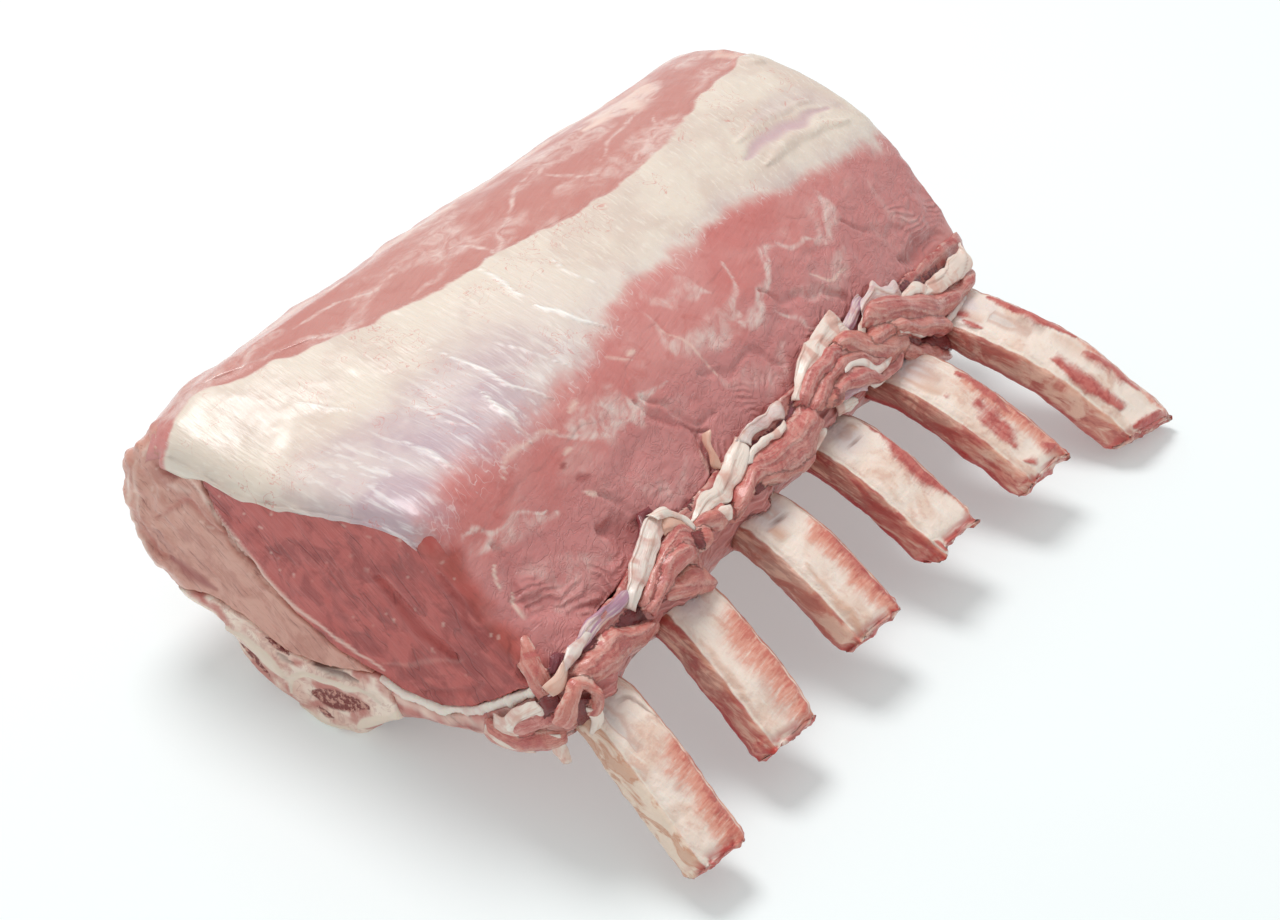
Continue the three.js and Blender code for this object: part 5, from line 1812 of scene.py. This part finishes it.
RIBBONS = [
    (1.4, 2, 0.0, [(46, -103, 29), (49, -104, 31), (52, -104, 35), (56, -103, 38)],
     [(47, -104, 26), (52, -104, 28), (55, -104, 32), (59, -103, 37)]),
    (1.4, 1, -0.2, [(57, -102, 29), (59, -101, 25), (61, -100, 21)],
     [(61, -101, 30), (61, -99, 25), (62, -99, 21)]),
    (1.2, 1, -0.1, [(65, -97, 36), (65, -96, 32), (65, -96, 28)],
     [(67, -95, 35), (67, -95, 31), (66, -95, 27)]),
    (1.2, 2, -0.2, [(44, -104, 26), (49, -104, 25), (55, -103, 26)],
     [(44, -104, 24), (50, -104, 23), (56, -103, 24)]),
    (1.2, 2, 1.0,
     [(58, -93, 46), (58, -90, 46), (57, -85, 46), (57, -81, 46), (57, -76, 46), (57, -72, 46)],
     [(60, -94, 44), (59, -89, 44), (59, -84, 44), (59, -79, 44), (59, -74, 44), (58, -69, 44)]),
    (1.2, 1, 0.2, [(60, -98, 44), (59, -96, 45), (58, -92, 46), (58, -87, 46)],
     [(60.5, -98, 43.5), (60, -95, 44), (60, -91, 45), (59, -86, 45)]),
    (1.6, 1, -0.8, [(58, -102, 42), (59, -99, 44), (59, -96, 45)],
     [(60, -102, 41), (61, -99, 42), (60, -96, 44)]),
    (1.4, 3, 0.1,
     [(59, -74, 43), (58, -72, 45), (57, -69, 46), (55, -65, 47),
      (54, -61, 48), (53, -58, 49), (52, -55, 50), (52, -52, 50)],
     [(61, -73, 42), (60, -69, 44), (59, -65, 44), (58, -61, 46),
      (57, -58, 47), (56, -55, 48), (55, -52, 48), (54, -50, 49)]),
    (1.3, 1, 0.0, [(52, -54, 51), (53, -50, 51), (54, -48, 49), (56, -46, 47), (58, -45, 45)],
     [(54, -54, 51), (54, -51, 50), (55, -49, 49), (57, -47, 47), (59, -46, 45)]),
    (1.6, 2, -1.0, [(53, -52, 49), (54, -50, 49), (56, -47, 47), (58, -45, 45)],
     [(56, -54, 48), (56, -52, 48), (57, -49, 46), (59, -47, 44)]),
    (2.6, 1, 0.0, [(59, -38, 44), (59, -36, 44), (60, -33, 43)],
     [(60, -38, 43), (61, -36, 42), (61, -34, 42)]),
    (1.4, 3, -0.1,
     [(57, -45, 45), (56, -42, 46), (55, -38, 47), (55, -33, 46),
      (55, -30, 47), (54, -26, 47), (53, -23, 48), (52, -18, 49)],
     [(58, -43, 45), (58, -39, 45), (58, -36, 44), (59, -32, 43),
      (58, -29, 44), (58, -25, 45), (57, -21, 46), (55, -18, 47)]),
    (1.2, 2, 0.3,
     [(53, -19, 49), (52, -14, 49), (52, -10, 49), (52, -6, 48), (52, -3, 48), (53, 0, 48), (54, 1, 46)],
     [(55, -17, 47), (54, -14, 47), (54, -10, 47), (54, -7, 47), (54, -5, 47), (55, -3, 46), (55, -1, 45)]),
    (1.2, 1, 0.0, [(57, -23, 46), (56, -19, 47), (56, -15, 47), (56, -11, 47), (56, -7, 46), (56, -3, 46)],
     [(58, -21, 46), (57, -18, 46), (57, -15, 46), (57, -11, 46), (57, -8, 45), (57, -4, 45)]),
    (1.2, 1, 0.0, [(62, 0, 37), (62, 3, 38), (61, 6, 39), (61, 8, 39)],
     [(62, 1, 36), (62, 4, 37), (62, 7, 38), (61, 9, 38)]),
    (1.2, 1, -0.6, [(60, -30, 43), (60, -27, 42), (60, -23, 42)],
     [(61, -30, 42), (61, -27, 42), (61, -24, 42)]),
    (1.2, 1, -1.0, [(47, -24, 52), (50, -26, 50), (52, -28, 48), (53, -28, 47)],
     [(48, -23, 53), (50, -25, 51), (53, -26, 48), (54, -27, 47)]),
    (1.4, 3, -0.1,
     [(54, 4, 46), (52, 8, 47), (50, 13, 49), (49, 17, 50),
      (48, 20, 50), (48, 24, 50), (47, 29, 50), (46, 34, 51)],
     [(56, 5, 46), (54, 10, 47), (53, 15, 48), (53, 19, 48),
      (52, 23, 48), (51, 27, 48), (51, 31, 48), (52, 36, 46)]),
    (1.6, 1, 0.1, [(57, 23, 45), (57, 27, 44), (58, 32, 43), (59, 35, 40), (60, 38, 39), (60, 42, 39)],
     [(58, 22, 45), (58, 27, 44), (60, 30, 42), (61, 31, 40), (61, 36, 38), (60, 41, 37)]),
    (1.2, 2, 1.0, [(49, 36, 47), (48, 42, 47), (47, 47, 48)], [(51, 37, 45), (50, 42, 46), (49, 48, 46)]),
    (1.4, 2, 0.8, [(58, 17, 42), (58, 22, 41), (59, 25, 40), (60, 28, 38)],
     [(60, 16, 41), (60, 20, 40), (60, 24, 39), (61, 28, 37)]),
    (1.4, 2, 0.0, [(58, 16, 40), (58, 20, 39), (59, 24, 37)], [(60, 16, 37), (60, 21, 35), (60, 25, 35)]),
    (1.0, 1, 0.0, [(61, 30, 37), (61, 35, 36), (61, 40, 35)], [(61, 31, 36), (61, 36, 35), (61, 41, 34)]),
    (1.2, 2, 0.4,
     [(49, 45, 47), (48, 51, 48), (47, 55, 48), (48, 56, 46), (49, 59, 45), (49, 62, 45), (50, 63, 43)],
     [(51, 43, 46), (50, 48, 46), (50, 51, 46), (51, 54, 45), (52, 57, 43), (52, 59, 43), (53, 61, 41)]),
    (1.4, 1, -0.1, [(53, 60, 42), (52, 65, 42), (52, 69, 41), (53, 71, 40), (54, 72, 39)],
     [(54, 61, 41), (54, 64, 41), (54, 67, 40), (55, 68, 39), (55, 70, 38)]),
    (2.0, 2, -0.2,
     [(54, 70, 39), (53, 74, 39), (53, 79, 39), (53, 84, 38), (52, 88, 38), (52, 93, 37), (51, 96, 38)],
     [(55, 68, 39), (56, 74, 37), (56, 79, 36), (56, 84, 35), (56, 89, 34), (55, 94, 35), (52, 95, 38)]),
    (1.0, 1, 0.2, [(59, 71, 31), (59, 76, 31), (59, 81, 31), (58, 87, 30)],
     [(60, 72, 30), (60, 77, 30), (59, 82, 30), (58, 88, 29)]),
    (1.4, 1, -0.3, [(53, 38, 45), (52, 40, 46), (51, 44, 46)], [(54, 39, 44), (53, 41, 45), (52, 45, 46)]),
    (1.0, 1, 0.1, [(58, 48, 42), (59, 53, 39), (60, 58, 36), (60, 64, 34), (60, 69, 31)],
     [(59, 48, 41), (59, 53, 38), (60, 58, 35), (60, 64, 33), (61, 69, 30)]),
]
print(len(FLAPS), "flaps,", len(CREVICES), "crevices and", len(RIBBONS), "ribbons")

# %% [markdown]
# The foot of the flank gets one long strip of its own under all of them. It covers the seam between
# the eye of the loin and the fat below it, which the skin hides on the real rack. Then all of it is
# remeshed into one skin, so that flaps merge where they touch, and each point of the skin takes its
# masks from the nearest point of a flap.

# %% Make the flaps


def foot_edges():
    """The inner and outer edge of a strip along the upper border of the seam fat, on the flank."""
    seam_copy = cad_copy("seam_fat")
    inner, outer = [], []
    for y in np.linspace(NEAR + 1.0, FAR - 1.0, 12):
        high = slice_of(seam_copy, 1, y)[1]
        inner.append((high[0] - 1.2, y, high[2] + 1.4))
        outer.append((high[0] + 1.2, y, high[2] - 3.0))
    seam_copy.free()
    return inner, outer


def soft_parts():
    """All flaps and crevices, each with its warmth, its depth of painted crevice shade and its purple."""
    plans = [
        (inner, outer, thick, arch, layers, warm, 0.0, 0.0)
        for thick, arch, layers, warm, inner, outer in FLAPS
    ]
    plans += [(inner, outer, thick, 0.0, 1, 0.0, 1.0, purple) for thick, purple, inner, outer in CREVICES]
    # The foot strip gets a fifth of the crevices' painted shade.
    plans.append((*foot_edges(), 1.8, 0.2, 4, 0.2, 0.2, 0.0))
    parts = []
    for seed, (inner, outer, thick, arch, layers, warm, deep, purple) in enumerate(plans):
        bm, masks = flap(inner, outer, thick, arch, layers, seed)
        for name, value in (("warm", warm), ("deep", deep), ("purple", purple)):
            masks[name] = np.full(len(bm.verts), value)
        parts.append((bm, masks))
    return parts


def grown_together(parts, voxel, rounds):
    """Parts joined into one soft skin, which takes its masks from the nearest point of the parts."""
    whole, masks = joined(parts)
    points = points_of(whole)
    tree = KDTree(len(points))
    for n, point in enumerate(points):
        tree.insert(Vector(point), n)
    tree.balance()
    skin = even(whole, voxel, rounds)
    nearest = [tree.find(Vector(point))[1] for point in points_of(skin)]
    return skin, {name: values[nearest] for name, values in masks.items()}


frill, frill_masks = grown_together(soft_parts(), voxel=0.44, rounds=2)
frill_points = points_of(frill)
lines = np.stack([frill_masks["run"] / 16, frill_masks["layer"] / 2.2, np.zeros(len(frill_points))], axis=1)
lumps = 0.2 * noise(lines, 1.0, 84) + 0.1 * cloud(frill_points, 4, 85, 2)
set_points(frill, frill_points + normals_of(frill) * lumps[:, None])
print("the flaps have", len(frill.verts), "points")

# %% [markdown]
# The fibres of a flap follow it round every bend, so their noise is read at the place along and
# across the flap that its mesh carries, and not at the place in space. A dark line of painted shade
# lies under the step of each layer and a pale line of painted highlight on its crest. The pale rim of
# each flap is partly cream skin and partly painted highlight.

# %% Frill finish
frill_finish = Finish(
    "cut flaps", Coat_Weight=0.4, Coat_Roughness=0.16, Subsurface_Weight=0.12,
    Subsurface_Radius=(1.0, 0.35, 0.25), Subsurface_Scale=1.5 * MM,
)


def lying(finish, along, across):
    """Noise that lies along a flap, stretched over so many millimetres along and across it."""
    place = {0: finish.mask("run") * (1 / along), 1: finish.mask("layer") * (1 / across), 2: 0.5}
    spot = finish.node("ShaderNodeCombineXYZ", {}, place)
    return finish.node(
        "ShaderNodeTexNoise", {}, {"Vector": spot, "Scale": 1.0, "Detail": 3.0, "Roughness": 0.6}
    )


flap_fibre = lying(frill_finish, 8.0, 0.55)
flap_patch = frill_finish.noise(4.0, detail=4.0, rough=0.65, warp=0.9)
flap_fine = frill_finish.noise(1.1, detail=3.0, rough=0.65, seed=2.0)
flap_tone = frill_finish.coats(
    tone(194, 98, 93),
    (tone(216, 142, 134), flap_patch.span(0.4, 0.62)),
    (tone(210, 130, 108), frill_finish.mask("warm") * flap_patch.span(0.3, 0.6) * 0.6),
    (tone(228, 176, 162), flap_fibre.span(0.53, 0.7) * 0.7),
    (tone(160, 62, 60), flap_fibre.span(0.47, 0.3) * 0.6),
    # Painted highlight on the crest of each layer.
    (tone(232, 196, 182), frill_finish.mask("crest") * (flap_fine * 1.4 - 0.35)),
    # Painted shade under the step of each layer.
    (tone(150, 50, 48), frill_finish.mask("step") * 0.5),
    # The pale rim: partly cream skin, partly painted highlight.
    (tone(232, 198, 182), frill_finish.mask("rim") * flap_patch.span(0.45, 0.62) * 0.75),
    (tone(236, 206, 190), flap_patch.span(0.64, 0.72) * flap_fine.span(0.4, 0.6) * 0.4),
)
# Painted shade: crevices are painted dark red, turning purple-grey with their share of purple.
painted_crevice_shade = frill_finish.mix(tone(116, 24, 26), tone(140, 80, 96), frill_finish.mask("purple"))
flap_tone = frill_finish.mix(flap_tone, painted_crevice_shade, frill_finish.mask("deep") * (flap_patch * 0.6 + 0.65))
frill_finish.wear(
    Base_Color=flap_tone,
    Roughness=0.46 - flap_patch * 0.2,
    Normal=frill_finish.bump(flap_fibre * 1.2 + flap_fine * 0.5, 0.45),
)
piece("frill_flaps", frill, frill_finish, [], frill_masks)

# %% [markdown]
# The ribbons of skin are cream, pinker where they are thin. Some are lilac, because the meat shows
# through them, and some turn peach where they grow into a flap. A darker line under the step of each
# ridge is painted shade.

# %% Ribbons
RIBBON_THIN = 0.62
ribbon_finish = Finish(
    "pale skin", Roughness=0.38, Coat_Weight=0.3, Coat_Roughness=0.15,
    Subsurface_Weight=0.2, Subsurface_Radius=(1.0, 0.6, 0.5), Subsurface_Scale=1.5 * MM,
)
ribbon_line = lying(ribbon_finish, 9.0, 0.7)
ribbon_cloud = ribbon_finish.noise(5.0, detail=3.0, warp=0.6)
ribbon_tone = ribbon_finish.coats(
    tone(240, 226, 214),
    (tone(222, 180, 166), ribbon_cloud.span(0.46, 0.66)),
    (tone(216, 166, 144), ribbon_line.span(0.56, 0.72) * 0.5),
    (tone(180, 134, 156), ribbon_finish.mask("lilac") * ribbon_line.span(0.7, 0.4)),
    (tone(220, 164, 140), ribbon_finish.mask("peach") * 0.8),
    # Painted shade under the step of each ridge.
    (tone(200, 150, 132), ribbon_finish.mask("step") * 0.6),
)
ribbon_finish.wear(Base_Color=ribbon_tone, Normal=ribbon_finish.bump(ribbon_line + ribbon_cloud, 0.3))

ribbon_parts = []
for number, (thick, layers, hue, inner, outer) in enumerate(RIBBONS):
    bm, masks = flap(inner, outer, RIBBON_THIN * thick, 0.3, layers, seed=50 + number, uneven=0.9)
    masks["lilac"] = np.full(len(bm.verts), max(hue, 0.0))
    masks["peach"] = np.full(len(bm.verts), max(-hue, 0.0))
    ribbon_parts.append((bm, masks))
ribbons, ribbon_masks = joined(ribbon_parts)
piece("frill_ribbons", ribbons, ribbon_finish, [], ribbon_masks)

# %% Free the smooth body
body.free()
